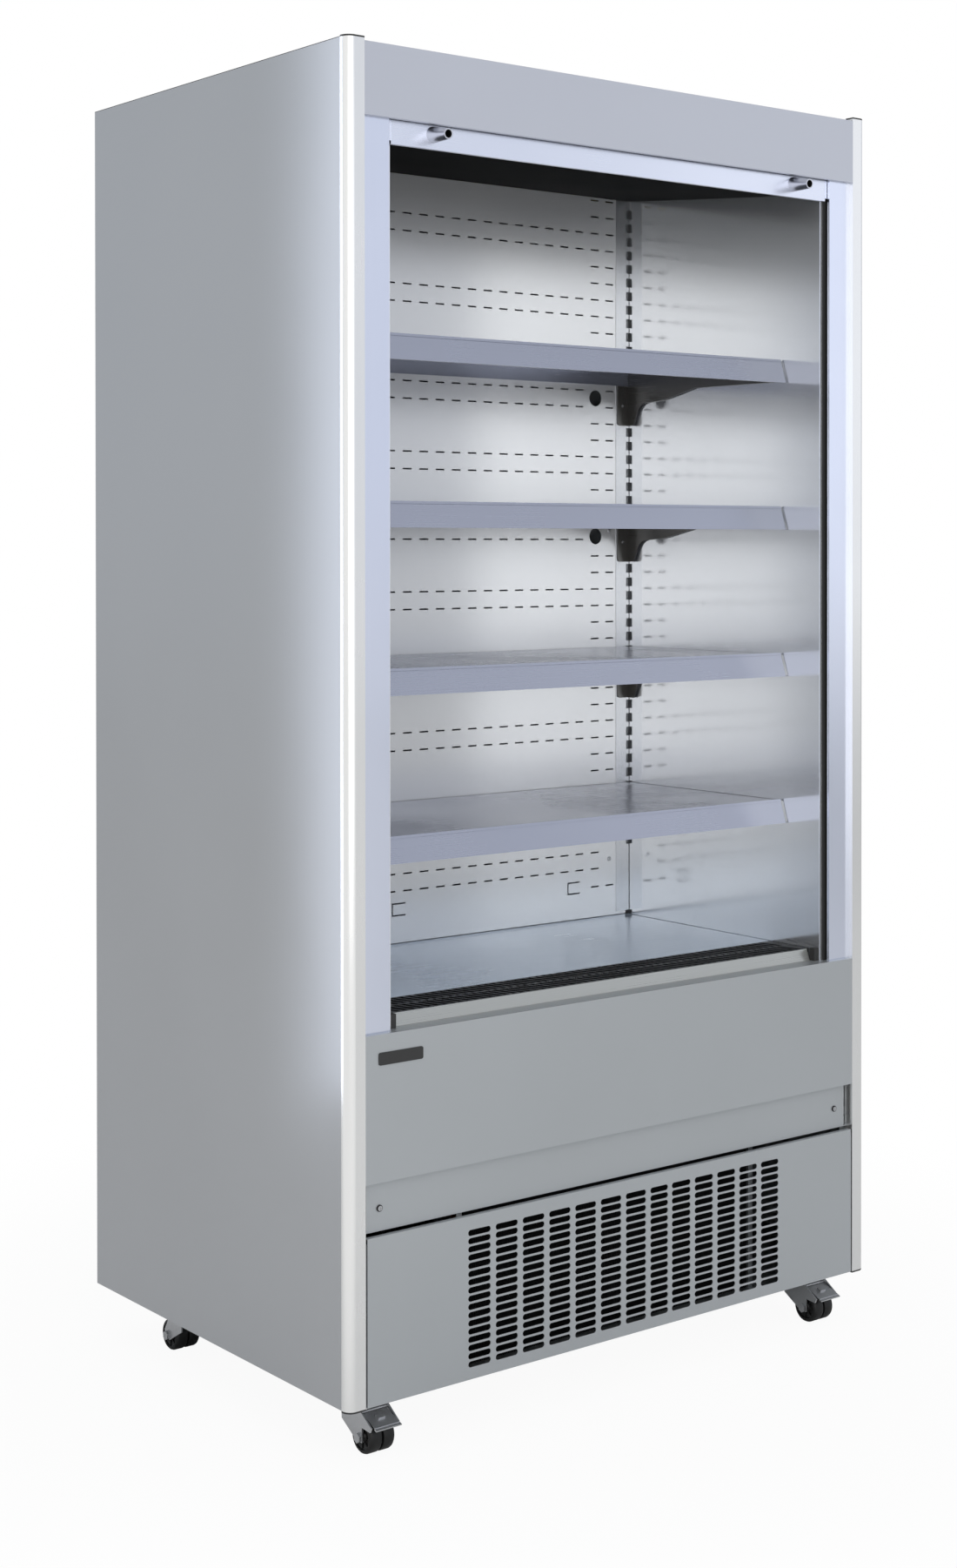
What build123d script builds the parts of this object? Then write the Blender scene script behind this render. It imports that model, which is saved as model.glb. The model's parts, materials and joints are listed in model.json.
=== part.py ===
from build123d import *

import math
import os

# Open multideck display fridge, self-contained, on four twin-wheel castors.
# Millimetres. +X is the right-hand side seen from the front, -Y is the front,
# +Z is up. The origin is on the floor at the middle of the overall box.
# "Depth" is the distance behind the front plane of the panels.

# ---- overall sizes ------------------------------------------------------------
WIDTH = 1066.0
BODY_DEPTH = 733.0
KNOB_PROUD = 25.5
BODY_BOTTOM = 84.0
PANEL_TOP = 2030.0
FRONT_Y = (KNOB_PROUD - BODY_DEPTH) / 2
HALF = WIDTH / 2

# ---- sheet and clearances -----------------------------------------------------
SKIN = 1.0
SHEET = 1.2
FIT = 0.3
LIFT_GAP = 0.7

# ---- corner posts and their end caps ------------------------------------------
POST_WIDTH = 31.0
POST_DEPTH = 16.5
POST_RADIUS = 14.0
POST_WALL = 1.6
CAP_THICK = 2.5
CAP_PLUG = 8.0
SIDE_FLANGE = 20.0
POST_INNER = HALF - POST_WIDTH

# ---- front faces --------------------------------------------------------------
FASCIA_BOTTOM = PANEL_TOP - 107.5
FASCIA_TOP = PANEL_TOP - 3.5
FASCIA_HEM = 8.0
FRAME_DEPTH = 8.0
FRAME_INNER = POST_INNER - 48.5
FRAME_LIP = 4.0
PANEL_LEDGE = 614.0
PANEL_FLOOR = 402.0
LEDGE_DEPTH = 31.0
STRIP_DEPTH = 12.0
STRIP_FOOT = 329.2
STRIP_HALF = POST_INNER - 9.0
VENT_TOP = 325.2
VENT_HALF = POST_INNER - 3.0
VENT_RETURN = 8.5
SCREW_X = POST_INNER - 32.0
SCREW_Z = 362.2
SCREW_DIA = 10.0
SCREW_HEAD = 2.4
SCREW_SHANK = 5.0
PLATE_LEFT = 22.5 - POST_INNER
PLATE_LENGTH = 78.5
PLATE_HEIGHT = 18.0
PLATE_BOTTOM = 570.0
PLATE_THICK = 1.5
PLATE_RADIUS = 3.0

# ---- vent slots ---------------------------------------------------------------
VENT_ROWS = 17
VENT_ROW_TOP = 300.2
VENT_ROW_PITCH = 12.125
VENT_SLOT_HEIGHT = 9.0
VENT_WIDE = (7, -297.1, 51.58, 42.0)
VENT_MIDDLE = (1, 61.4, 51.58, 37.3)
VENT_NARROW = (5, 108.5, 49.33, 40.0)

# ---- cold space ---------------------------------------------------------------
WALL_INNER = POST_INNER - 58.4
WALL_DEPTH = 20.5
BACK_DEPTH = BODY_DEPTH - 232.0
DUCT_DEPTH = BODY_DEPTH - 81.0
WELL_FLOOR = 446.0
CEILING_TOP = PANEL_TOP - 68.0
CEILING_BACK_Z = PANEL_TOP - 85.5
CEILING_SLOPE = 0.0945
CANOPY_FRONT = 92.0
OUTLET_FRONT = 24.0
OUTLET_THICK = 10.0
OUTLET_CELL = 13.0
OUTLET_RIB = 1.6
OUTLET_BAYS = 12
MACHINE_TOP = 404.0
BASE_SHEET = 2.0
BASE_FLANGE = 24.0

# ---- back panels: rows of dash slots ------------------------------------------
PANEL_SEAM_HIGH = 1650.0
PANEL_SEAM_LOW = 850.0
PANEL_FOOT = 634.5
DASH_LENGTH = 19.0
DASH_HEIGHT = 2.7
DASH_SIDE_X = (WALL_INNER - 82.8, WALL_INNER - 47.5)
DASH_FIRST_X = DASH_SIDE_X[0] - 36.8
DASH_PITCH = 35.07
DASH_COUNT = int(2 * DASH_FIRST_X // DASH_PITCH) + 1
UPPER_ROW_TOP = CEILING_BACK_Z - 5.3
UPPER_ROWS = 9
UPPER_FULL = (2, 3)
MAIN_ROW_TOP = 1593.5
MAIN_ROWS = 24
MAIN_FULL = (0, 1)
MAIN_SCREW_ROW = 9
ROW_PITCH = 30.08
ROW_PATTERN = 4
LOWER_ROWS = (751.8, 722.4)
LOWER_PAIR_ROW = 689.6
PORT_X = WALL_INNER - 81.0
PORT_RADIUS = 14.4
PORT_Z = (1579.7, 1328.3)
LANCE_X = (WALL_INNER - 147.7, WALL_INNER - 538.7)
LANCE_Z = (680.0, 770.8)
LANCE_LENGTH = 28.7
LANCE_HEIGHT = 22.5
LANCE_LINE = 2.4

# ---- shelf uprights -----------------------------------------------------------
UPRIGHT_INNER = WALL_INNER - 31.8
UPRIGHT_OUTER = WALL_INNER - 1.2
UPRIGHT_PROUD = SHEET
UPRIGHT_RETURN = 14.0
UPRIGHT_FOOT = 640.0
NOTCH_INNER = WALL_INNER - 7.6
BACK_HALF = NOTCH_INNER - LIFT_GAP
NOTCH_HEIGHT = 16.0
NOTCH_DEPTH = 7.0
NOTCH_PITCH = 25.0
NOTCH_LOWEST = 769.8
NOTCH_COUNT = int((CEILING_BACK_Z - NOTCH_LOWEST - NOTCH_HEIGHT) // NOTCH_PITCH) + 1

# ---- shelves and their brackets -----------------------------------------------
SHELF_TOP = 1626.0
SHELF_STEP = 250.0
SHELF_COUNT = 4
SHELF_HALF = WALL_INNER - 3.6
SHELF_FRONT = 108.5
BRACKET_FLANGE_THICK = 1.7
SHELF_REAR = BACK_DEPTH - UPRIGHT_PROUD - FIT - BRACKET_FLANGE_THICK - LIFT_GAP
LIP_RISE = 2.5
LIP_DROP = 37.5
LIP_LEAN = 13.0
LIP_HEM = 7.0
LIP_BEAD = 4.0
LIP_BEAD_PROUD = 0.9
SHELF_STIFFENER = 22.0
BLADE_OUTER = WALL_INNER - 2.6
BLADE_THICK = 3.0
BLADE_NOSE_DROP = 35.0
BLADE_BELLY = (
    (181.8, 34.0),
    (105.5, 50.4),
    (78.0, 52.6),
    (51.9, 54.0),
    (41.0, 56.8),
    (34.1, 61.6),
    (29.2, 68.5),
    (25.0, 77.5),
    (20.6, 88.0),
)
BLADE_HEEL = 17.7
BLADE_DROP = 94.0
BRACKET_FLANGE_INNER = UPRIGHT_INNER + 2.6
BRACKET_FLANGE_RADIUS = 6.0
BRACKET_HOLE = 6.0
HOOK_HEIGHT = 10.0
HOOK_TOOTH = 3.0
HOOK_THICK = 3.0
HOOK_SLACK = 0.5

# ---- deck, air return and sill ------------------------------------------------
DECK_Z = 632.0
DECK_FRONT = 134.5
DECK_REAR = BACK_DEPTH - LIFT_GAP
DECK_HALF = WALL_INNER - 2.6
DECK_FLANGE = 24.0
DECK_RISE = 1.6
DECK_FOLD = 14.0
GRILLE_FRONT = 42.5
GRILLE_THICK = 6.0
GRILLE_HALF = WALL_INNER - 3.6
GRILLE_PITCH = 14.6
GRILLE_RIB = 5.0
GRILLE_BORDER = 4.0
GRILLE_SLANT = 12.0
SILL_HALF = WALL_INNER - 10.6
SILL_TOP_DEPTH = 39.5
SILL_FOOT_DEPTH = 32.5
SILL_CREST = 14.0
SILL_BLOCK_TOP = 635.0
SILL_BLOCK_DEPTH = 11.0

# ---- night blind --------------------------------------------------------------
BAR_HALF = FRAME_INNER - 6.0
BAR_DEPTH = 12.5
BAR_THICK = 6.3
BAR_BOTTOM = FASCIA_BOTTOM - 35.0
BAR_HEIGHT = 40.0
BAR_WALL = 1.2
BAR_GLIDE_LENGTH = 16.0
BAR_GLIDE_HEIGHT = 30.0
BAR_GLIDE_THICK = 5.3
KNOB_X = FRAME_INNER - 81.5
KNOB_Z = BAR_BOTTOM + 21.0
KNOB_BASE_DIA = 24.0
KNOB_TIP_DIA = 15.7
KNOB_BORE = 12.0
KNOB_BORE_DEPTH = 24.0
KNOB_DROOP = 5.0
ROLLER_DIA = 32.0
ROLL_DIA = 46.0
ROLLER_HALF = WALL_INNER - 9.6
ROLL_HALF = ROLLER_HALF - 4.0
ROLLER_Z = PANEL_TOP - 45.0
ROLLER_PIN_DIA = 8.0
CURTAIN_THICK = 0.8
CASSETTE_TOP = FASCIA_TOP - SHEET
CASSETTE_BOTTOM = PANEL_TOP - 84.0
CASSETTE_REAR = 68.0
CASSETTE_MOUTH = 24.0
CASSETTE_END = 3.0
GUIDE_OUTER = FRAME_INNER + 24.5
GUIDE_WALL = 1.2
GUIDE_MOUTH = FRAME_INNER - 4.5

# ---- machine space ------------------------------------------------------------
ANGLE_LEG = 40.0
ANGLE_THICK = 2.0
ANGLE_FRONT = POST_DEPTH + SKIN + FIT
PAN_FRONT = 14.0
CONDENSER_HALF = POST_INNER - 202.0
CONDENSER_DEPTH = 42.0
CONDENSER_THICK = 58.0
CONDENSER_FOOT = 88.0
CONDENSER_TOP = 328.0
CONDENSER_PLATE = 2.0
CONDENSER_FINS = 60
FIN_THICK = 1.4
TUBE_DIA = 10.0
TUBE_ROWS = 6
TUBE_PLACES = (0.3, 0.7)
SHROUD_THICK = 2.0
SHROUD_DEPTH = 32.0
FAN_DIA = 196.0
FAN_RING_GAP = 4.0
FAN_HUB_DIA = 62.0
FAN_HUB_LENGTH = 18.0
FAN_BLADES = 5
FAN_BLADE_CHORD = 21.0
FAN_BLADE_THICK = 2.0
FAN_PITCH = 35.0
FAN_SHAFT_DIA = 8.0
FAN_SHAFT_GAP = 0.05
MOTOR_DIA = 78.0
MOTOR_LENGTH = 55.0
MOTOR_ARM = 10.0
MOTOR_ARM_EDGE = 1.5
COMPRESSOR_X = HALF - 283.0
COMPRESSOR_DEPTH = BODY_DEPTH - 213.0
COMPRESSOR_DIA = 176.0
COMPRESSOR_BODY = 120.0
COMPRESSOR_DOME = 44.0
COMPRESSOR_FOOT_DIA = 26.0
COMPRESSOR_FOOT = 18.0
COMPRESSOR_PLATE = (250.0, 200.0, 3.0)
STUB_DIA = 14.0
STUB_LENGTH = 26.0
TRAY_DEPTH = BODY_DEPTH - 173.0
TRAY_WALL = 2.5
DRAIN_DIA = 24.0
DRAIN_WALL = 2.0
BOX_X = 133.0 - HALF
BOX_SIZE = (180.0, 90.0, 150.0)
BOX_GAP = 12.0
TRAY_BOX_GAP = 120.0
TRAY_COMPRESSOR_GAP = 55.0
TRAY_LEFT = BOX_X + BOX_SIZE[0] / 2 + TRAY_BOX_GAP
TRAY_RIGHT = COMPRESSOR_X - COMPRESSOR_PLATE[0] / 2 - TRAY_COMPRESSOR_GAP
TRAY_X = (TRAY_LEFT + TRAY_RIGHT) / 2
TRAY_SIZE = (TRAY_RIGHT - TRAY_LEFT, 200.0, 60.0)
GLAND_DIA = 22.0
GLAND_BORE = 9.0
LOUVRE_LENGTH = 90.0
LOUVRE_HEIGHT = 6.0
LOUVRE_PITCH = 16.0
LOUVRE_ROWS = 9
LOUVRE_COLUMNS = 7
LOUVRE_COLUMN_PITCH = 120.0
LOUVRE_TOP = 330.0

# ---- cooling coil in the well -------------------------------------------------
COIL_THICK = 140.0
COIL_REAR = BACK_DEPTH - 131.0
COIL_FRONT = COIL_REAR - COIL_THICK
COIL_HALF = WALL_INNER - 63.6
COIL_HEIGHT = 140.0
COIL_FINS = 70
COIL_TUBE_ROWS = 4
FAN_PLATE_DEPTH = COIL_FRONT - 52.0
COIL_FAN_DIA = 118.0
COIL_MOTOR_DIA = 54.0
COIL_MOTOR_LENGTH = 34.0
COIL_HUB_DIA = 40.0

# ---- castors ------------------------------------------------------------------
WHEEL_DIA = 50.0
WHEEL_WIDTH = 44.0
WHEEL_EDGE = 4.5
WHEEL_GROOVE = 3.0
WHEEL_X = HALF - 76.0
AXLE_DIA = 8.0
AXLE_BORE_GAP = 0.05
FRONT_AXLE_DEPTH = 45.5
REAR_AXLE_DEPTH = BODY_DEPTH - 143.5
TRAIL = 22.0
FORK_PLATE = 2.5
FORK_GAP = 1.0
FORK_TOP = 66.0
FORK_AXLE_LUG = (7.0, 6.0)
FORK_HEEL_Z = 40.9
FRONT_CHEEK = ((30.0, 46.2), (27.0, 39.6), (7.0, 41.0))
REAR_CHEEK = ((0.0, 47.5), (9.0, 33.0), (8.0, 29.0))
SWIVEL_DIA = 44.0
SWIVEL_HEIGHT = 8.0
SWIVEL_BOLT_DIA = 12.0
CASTER_PLATE = (76.0, 62.0, 2.5)
NUT_ACROSS = 13.0
NUT_LENGTH = 4.5
PEDAL_WIDTH = 43.0
PEDAL_THICK = 2.0
PEDAL_LENGTH = 38.8
PEDAL_LIP = 5.0
PEDAL_LIP_OVER = 1.0
PEDAL_PIVOT_LEAD = -2.0
PEDAL_PIVOT_Z = 59.3
PEDAL_PIN_DIA = 5.0
PEDAL_PIN_GAP = 0.05
PEDAL_SLOPE = 18.6
PEDAL_NIB = (12.0, 9.0, 3.0)


# ---- helpers ------------------------------------------------------------------
def y_at(depth):
    """Y of a plane that lies this far behind the front panels."""
    return FRONT_Y + depth


def slab(x0, x1, d0, d1, z0, z1):
    """Box between two corners, with its Y given as depths."""
    middle = Pos((x0 + x1) / 2, y_at((d0 + d1) / 2), (z0 + z1) / 2)
    return middle * Box(abs(x1 - x0), abs(d1 - d0), abs(z1 - z0))


def sided(side, inner, outer, d0, d1, z0, z1):
    """Slab on the left (side -1) or right (side +1) of the middle plane."""
    return slab(side * inner, side * outer, d0, d1, z0, z1)


def prism_along_x(outline, x0, x1):
    """Solid whose side view is the outline, given as (depth, z) points."""
    wire = Wire.make_polygon([(x0, y_at(d), z) for d, z in outline], close=True)
    return Part() + Solid.extrude(Face(wire), Vector(x1 - x0, 0, 0))


def prism_along_z(outline, z0, z1):
    """Solid whose plan is the outline, given as (x, depth) points."""
    wire = Wire.make_polygon([(x, y_at(d), z0) for x, d in outline], close=True)
    return Part() + Solid.extrude(Face(wire), Vector(0, 0, z1 - z0))


def sheet_outline(path, thickness):
    """Outline of a folded sheet; the path is one face, the metal is on its left."""
    offset = []
    last = len(path) - 1
    for i, (a, b) in enumerate(path):
        normals = []
        for j in (i - 1, i):
            if 0 <= j < last:
                du = path[j + 1][0] - path[j][0]
                dv = path[j + 1][1] - path[j][1]
                length = math.hypot(du, dv)
                normals.append((-dv / length, du / length))
        nu = sum(n[0] for n in normals)
        nv = sum(n[1] for n in normals)
        scale = len(normals) * thickness / (nu * nu + nv * nv)
        if len(normals) == 2:
            dot = normals[0][0] * normals[1][0] + normals[0][1] * normals[1][1]
            scale = thickness / (1 + dot)
        offset.append((a + nu * scale, b + nv * scale))
    return list(path) + offset[::-1]


def slot_wire(x, y, z, length, height):
    """Round-ended slot outline in the plane of constant Y."""
    radius = height / 2
    half = length / 2 - radius
    left, right = x - half, x + half
    return Wire(
        [
            Edge.make_line((left, y, z + radius), (right, y, z + radius)),
            Edge.make_three_point_arc(
                (right, y, z + radius), (right + radius, y, z), (right, y, z - radius)
            ),
            Edge.make_line((right, y, z - radius), (left, y, z - radius)),
            Edge.make_three_point_arc(
                (left, y, z - radius), (left - radius, y, z), (left, y, z + radius)
            ),
        ]
    )


def ring_wire(x, y, z, radius):
    """Round hole outline in the plane of constant Y."""
    plane = Plane(origin=(x, y, z), x_dir=(1, 0, 0), z_dir=(0, -1, 0))
    return Wire.make_circle(radius, plane)


def polygon_wire(points, y):
    """Closed outline through (x, z) points in the plane of constant Y."""
    return Wire.make_polygon([(x, y, z) for x, z in points], close=True)


def rectangle(x0, x1, z0, z1):
    """Corner points of a rectangle in x and z."""
    return [(x0, z0), (x1, z0), (x1, z1), (x0, z1)]


def pierced_sheet(x0, x1, z0, z1, depth, thickness, holes):
    """Upright sheet facing the front, with the holes' wires on its front face."""
    face = Face(polygon_wire(rectangle(x0, x1, z0, z1), y_at(depth)), holes)
    return Part() + Solid.extrude(face, Vector(0, thickness, 0))


def rod_x(x0, x1, depth, z, diameter):
    """Round bar along X."""
    place = Pos((x0 + x1) / 2, y_at(depth), z) * Rot(0, 90, 0)
    return place * Cylinder(diameter / 2, abs(x1 - x0))


def rod_y(x, d0, d1, z, diameter):
    """Round bar along Y."""
    place = Pos(x, y_at((d0 + d1) / 2), z) * Rot(90, 0, 0)
    return place * Cylinder(diameter / 2, abs(d1 - d0))


def rod_z(x, depth, z0, z1, diameter):
    """Round bar along Z."""
    return Pos(x, y_at(depth), (z0 + z1) / 2) * Cylinder(diameter / 2, abs(z1 - z0))


def group(*pieces):
    """Separate solids kept together under one name."""
    solids = []
    for piece in pieces:
        solids.extend(piece.solids())
    return Compound(children=solids)


def ceiling_z(depth):
    """Underside of the sloping ceiling at a depth."""
    return CEILING_BACK_Z - CEILING_SLOPE * (BACK_DEPTH - depth)


def shelf_levels():
    """Top face height of each shelf, from the highest down."""
    return [SHELF_TOP - SHELF_STEP * i for i in range(SHELF_COUNT)]


# ---- carcass ------------------------------------------------------------------
def side_panel(side):
    """Outer side sheet with a flange behind the corner post."""
    sheet = sided(side, HALF - SKIN, HALF, POST_DEPTH, BODY_DEPTH, BODY_BOTTOM, PANEL_TOP)
    flange = sided(
        side, HALF - SIDE_FLANGE, HALF - SKIN, POST_DEPTH, POST_DEPTH + SKIN, BODY_BOTTOM, PANEL_TOP
    )
    return sheet + flange


def post_section(inset):
    """Plan of the corner post, rounded at its outer front corner."""
    width = POST_WIDTH - 2 * inset
    depth = POST_DEPTH - 2 * inset
    section = Pos(HALF - POST_WIDTH / 2, y_at(POST_DEPTH / 2)) * Rectangle(width, depth)
    corner = section.vertices().sort_by(Axis.X)[-2:].sort_by(Axis.Y)[0]
    return fillet(corner, POST_RADIUS - inset)


def corner_post(side):
    """Hollow extruded post between its two end caps."""
    outer = extrude(post_section(0), PANEL_TOP - BODY_BOTTOM)
    bore = extrude(post_section(POST_WALL), PANEL_TOP - BODY_BOTTOM)
    post = Pos(0, 0, BODY_BOTTOM) * (outer - bore)
    return post if side > 0 else mirror(post, Plane.YZ)


def post_end_caps():
    """Four end caps, each a plate with a plug inside the post."""
    plate = extrude(post_section(0), CAP_THICK)
    plug = extrude(post_section(POST_WALL + FIT), CAP_PLUG)
    top = Pos(0, 0, PANEL_TOP) * plate + Pos(0, 0, PANEL_TOP - CAP_PLUG) * plug
    low = Pos(0, 0, BODY_BOTTOM - CAP_THICK) * plate + Pos(0, 0, BODY_BOTTOM) * plug
    return group(top, low, mirror(top, Plane.YZ), mirror(low, Plane.YZ))


def base_pan():
    """Bottom plate with an upturned flange on each side."""
    half = HALF - SKIN - FIT
    rear = BODY_DEPTH - SKIN - FIT
    pan = slab(-half, half, ANGLE_FRONT, rear, BODY_BOTTOM, BODY_BOTTOM + BASE_SHEET)
    tongue = POST_INNER - FIT
    pan += slab(-tongue, tongue, PAN_FRONT, ANGLE_FRONT, BODY_BOTTOM, BODY_BOTTOM + BASE_SHEET)
    for side in (-1, 1):
        pan += sided(
            side,
            half - BASE_SHEET,
            half,
            ANGLE_FRONT,
            rear,
            BODY_BOTTOM,
            BODY_BOTTOM + BASE_FLANGE,
        )
    return pan


def machine_frame():
    """Four corner angles that carry the cold box above the machine space."""
    low = BODY_BOTTOM + BASE_SHEET
    half = HALF - SKIN - FIT - BASE_SHEET
    rear = BODY_DEPTH - SKIN - FIT
    angles = []
    for side in (-1, 1):
        front = ANGLE_FRONT
        angles.append(
            sided(side, half - ANGLE_LEG, half, front, front + ANGLE_THICK, low, MACHINE_TOP)
            + sided(side, half - ANGLE_THICK, half, front, front + ANGLE_LEG, low, MACHINE_TOP)
        )
        angles.append(
            sided(side, half - ANGLE_LEG, half, rear - ANGLE_THICK, rear, low, MACHINE_TOP)
            + sided(side, half - ANGLE_THICK, half, rear - ANGLE_LEG, rear, low, MACHINE_TOP)
        )
    return group(*angles)


def compartment_ceiling():
    """Plate between the machine space and the insulated box, with a drain hole."""
    half = HALF - SKIN - FIT
    plate = slab(
        -half,
        half,
        ANGLE_FRONT,
        BODY_DEPTH - SKIN,
        MACHINE_TOP,
        MACHINE_TOP + BASE_SHEET,
    )
    hole = rod_z(TRAY_X, TRAY_DEPTH, MACHINE_TOP, MACHINE_TOP + BASE_SHEET, DRAIN_DIA)
    return plate - hole


def foam_insulation():
    """Foam in the sides, back, roof, well floor and well front."""
    floor = MACHINE_TOP + BASE_SHEET
    wall = WALL_INNER + SKIN
    rear = BODY_DEPTH - SKIN
    hole = rod_z(TRAY_X, TRAY_DEPTH, floor, WELL_FLOOR, DRAIN_DIA)
    front = WALL_DEPTH + SKIN
    return group(
        sided(-1, wall, HALF - SKIN, front, rear, floor, PANEL_TOP),
        sided(1, wall, HALF - SKIN, front, rear, floor, PANEL_TOP),
        slab(-wall, wall, DUCT_DEPTH + SKIN, rear, floor, PANEL_TOP),
        slab(-wall, wall, CASSETTE_REAR, DUCT_DEPTH + SKIN, CEILING_TOP, PANEL_TOP),
        slab(-WALL_INNER, WALL_INNER, front, DUCT_DEPTH, floor, WELL_FLOOR - SKIN) - hole,
        slab(
            -WALL_INNER,
            WALL_INNER,
            SHEET,
            SILL_FOOT_DEPTH,
            floor + BASE_FLANGE,
            PANEL_LEDGE - SHEET,
        )
        - slab(-WALL_INNER, WALL_INNER, SHEET, front, floor, PANEL_FLOOR + BASE_FLANGE)
        - slab(-WALL_INNER, WALL_INNER, front, SILL_FOOT_DEPTH, floor, WELL_FLOOR - SKIN),
    )


def rear_cover():
    """Back sheet with rows of louvre slots low down for the machine space."""
    holes = []
    for column in range(LOUVRE_COLUMNS):
        x = (column - (LOUVRE_COLUMNS - 1) / 2) * LOUVRE_COLUMN_PITCH
        for row in range(LOUVRE_ROWS):
            z = LOUVRE_TOP - row * LOUVRE_PITCH
            holes.append(slot_wire(x, y_at(BODY_DEPTH - SKIN), z, LOUVRE_LENGTH, LOUVRE_HEIGHT))
    half = HALF - SKIN
    cover = pierced_sheet(
        -half, half, BODY_BOTTOM, PANEL_TOP, BODY_DEPTH - SKIN, SKIN, holes
    )
    gland_z = BODY_BOTTOM + BASE_SHEET + BOX_SIZE[2] / 2
    return cover - rod_y(BOX_X, BODY_DEPTH - SKIN, BODY_DEPTH, gland_z, GLAND_DIA + 2 * FIT)


def top_cover():
    """Roof sheet with a short front flange down to the fascia."""
    roof = slab(-HALF, HALF, POST_DEPTH, BODY_DEPTH, PANEL_TOP, PANEL_TOP + SKIN)
    drop = slab(
        -POST_INNER, POST_INNER, POST_DEPTH, POST_DEPTH + SKIN, FASCIA_TOP, PANEL_TOP + SKIN
    )
    return roof + drop


# ---- front panels -------------------------------------------------------------
def fascia_panel():
    """Plain top panel, hemmed below and returned over the blind cassette."""
    path = [
        (FASCIA_HEM, FASCIA_BOTTOM),
        (0.0, FASCIA_BOTTOM),
        (0.0, FASCIA_TOP),
        (WALL_DEPTH + SKIN, FASCIA_TOP),
    ]
    return prism_along_x(sheet_outline(path[::-1], SHEET), -POST_INNER, POST_INNER)


def front_frame(side):
    """Polished sheet beside the opening, with a lip at its inner edge."""
    path = [
        (side * FRAME_INNER, FRAME_DEPTH + FRAME_LIP),
        (side * FRAME_INNER, FRAME_DEPTH),
        (side * POST_INNER, FRAME_DEPTH),
        (side * POST_INNER, WALL_DEPTH),
    ]
    outline = sheet_outline(path, side * SHEET)
    return prism_along_z(outline, PANEL_LEDGE, CASSETTE_TOP - SHEET)


def front_panel():
    """Panel below the opening, with its top folded back as a ledge."""
    path = [
        (LEDGE_DEPTH, PANEL_LEDGE),
        (0.0, PANEL_LEDGE),
        (0.0, PANEL_FLOOR),
        (STRIP_DEPTH, PANEL_FLOOR),
    ]
    panel = prism_along_x(sheet_outline(path, SHEET), -POST_INNER, POST_INNER)
    for side in (-1, 1):
        panel -= sided(
            side,
            WALL_INNER,
            POST_INNER,
            WALL_DEPTH,
            LEDGE_DEPTH,
            PANEL_LEDGE - SHEET,
            PANEL_LEDGE,
        )
    return panel


def service_strip():
    """Set-back strip with two screw holes, its face short of the posts at both ends."""
    path = [
        (ANGLE_FRONT, PANEL_FLOOR),
        (STRIP_DEPTH, PANEL_FLOOR),
        (STRIP_DEPTH, STRIP_FOOT),
        (ANGLE_FRONT, STRIP_FOOT),
    ]
    strip = prism_along_x(sheet_outline(path, SHEET), -POST_INNER, POST_INNER)
    for side in (-1, 1):
        strip -= rod_y(side * SCREW_X, STRIP_DEPTH, STRIP_DEPTH + SHEET, SCREW_Z, SCREW_SHANK)
        strip -= sided(
            side,
            STRIP_HALF,
            POST_INNER,
            STRIP_DEPTH,
            STRIP_DEPTH + SHEET,
            STRIP_FOOT + SHEET,
            PANEL_FLOOR - SHEET,
        )
    return strip


def service_strip_screws():
    """Two domed screws with a cross recess."""
    middle = SCREW_Z
    screws = []
    for side in (-1, 1):
        head = rod_y(side * SCREW_X, STRIP_DEPTH - SCREW_HEAD, STRIP_DEPTH, middle, SCREW_DIA)
        rim = head.edges().filter_by(GeomType.CIRCLE).sort_by(Axis.Y)[0]
        head = fillet(rim, SCREW_HEAD * 0.6)
        recess = SCREW_DIA / 2
        face = STRIP_DEPTH - SCREW_HEAD
        for width, height in ((recess, SHEET), (SHEET, recess)):
            head -= slab(
                side * SCREW_X - width / 2,
                side * SCREW_X + width / 2,
                face,
                face + SCREW_HEAD / 2,
                middle - height / 2,
                middle + height / 2,
            )
        shank = rod_y(
            side * SCREW_X, STRIP_DEPTH, STRIP_DEPTH + POST_DEPTH / 2, middle, SCREW_SHANK - FIT
        )
        screws.append(head + shank)
    return group(*screws)


def vent_slots(depth):
    """Outlines of all the vent slots on the panel's front face."""
    holes = []
    for count, first, pitch, length in (VENT_WIDE, VENT_MIDDLE, VENT_NARROW):
        for column in range(count):
            x = first + column * pitch
            for row in range(VENT_ROWS):
                z = VENT_ROW_TOP - row * VENT_ROW_PITCH
                holes.append(slot_wire(x, y_at(depth), z, length, VENT_SLOT_HEIGHT))
    return holes


def vent_panel():
    """Lift-off lower panel with 13 columns of slots and four returned edges."""
    panel = pierced_sheet(
        -VENT_HALF, VENT_HALF, BODY_BOTTOM, VENT_TOP, 0.0, SHEET, vent_slots(0.0)
    )
    panel += slab(-VENT_HALF, VENT_HALF, SHEET, VENT_RETURN, VENT_TOP - SHEET, VENT_TOP)
    panel += slab(
        -VENT_HALF, VENT_HALF, SHEET, PAN_FRONT, BODY_BOTTOM, BODY_BOTTOM + SHEET
    )
    for side in (-1, 1):
        panel += sided(
            side,
            VENT_HALF - SHEET,
            VENT_HALF,
            SHEET,
            PAN_FRONT,
            BODY_BOTTOM + SHEET,
            VENT_TOP - VENT_RETURN,
        )
        panel += sided(
            side,
            VENT_HALF - SHEET,
            VENT_HALF,
            PAN_FRONT,
            ANGLE_FRONT,
            BODY_BOTTOM + 2 * BASE_SHEET,
            VENT_TOP - VENT_RETURN,
        )
    return panel


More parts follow.
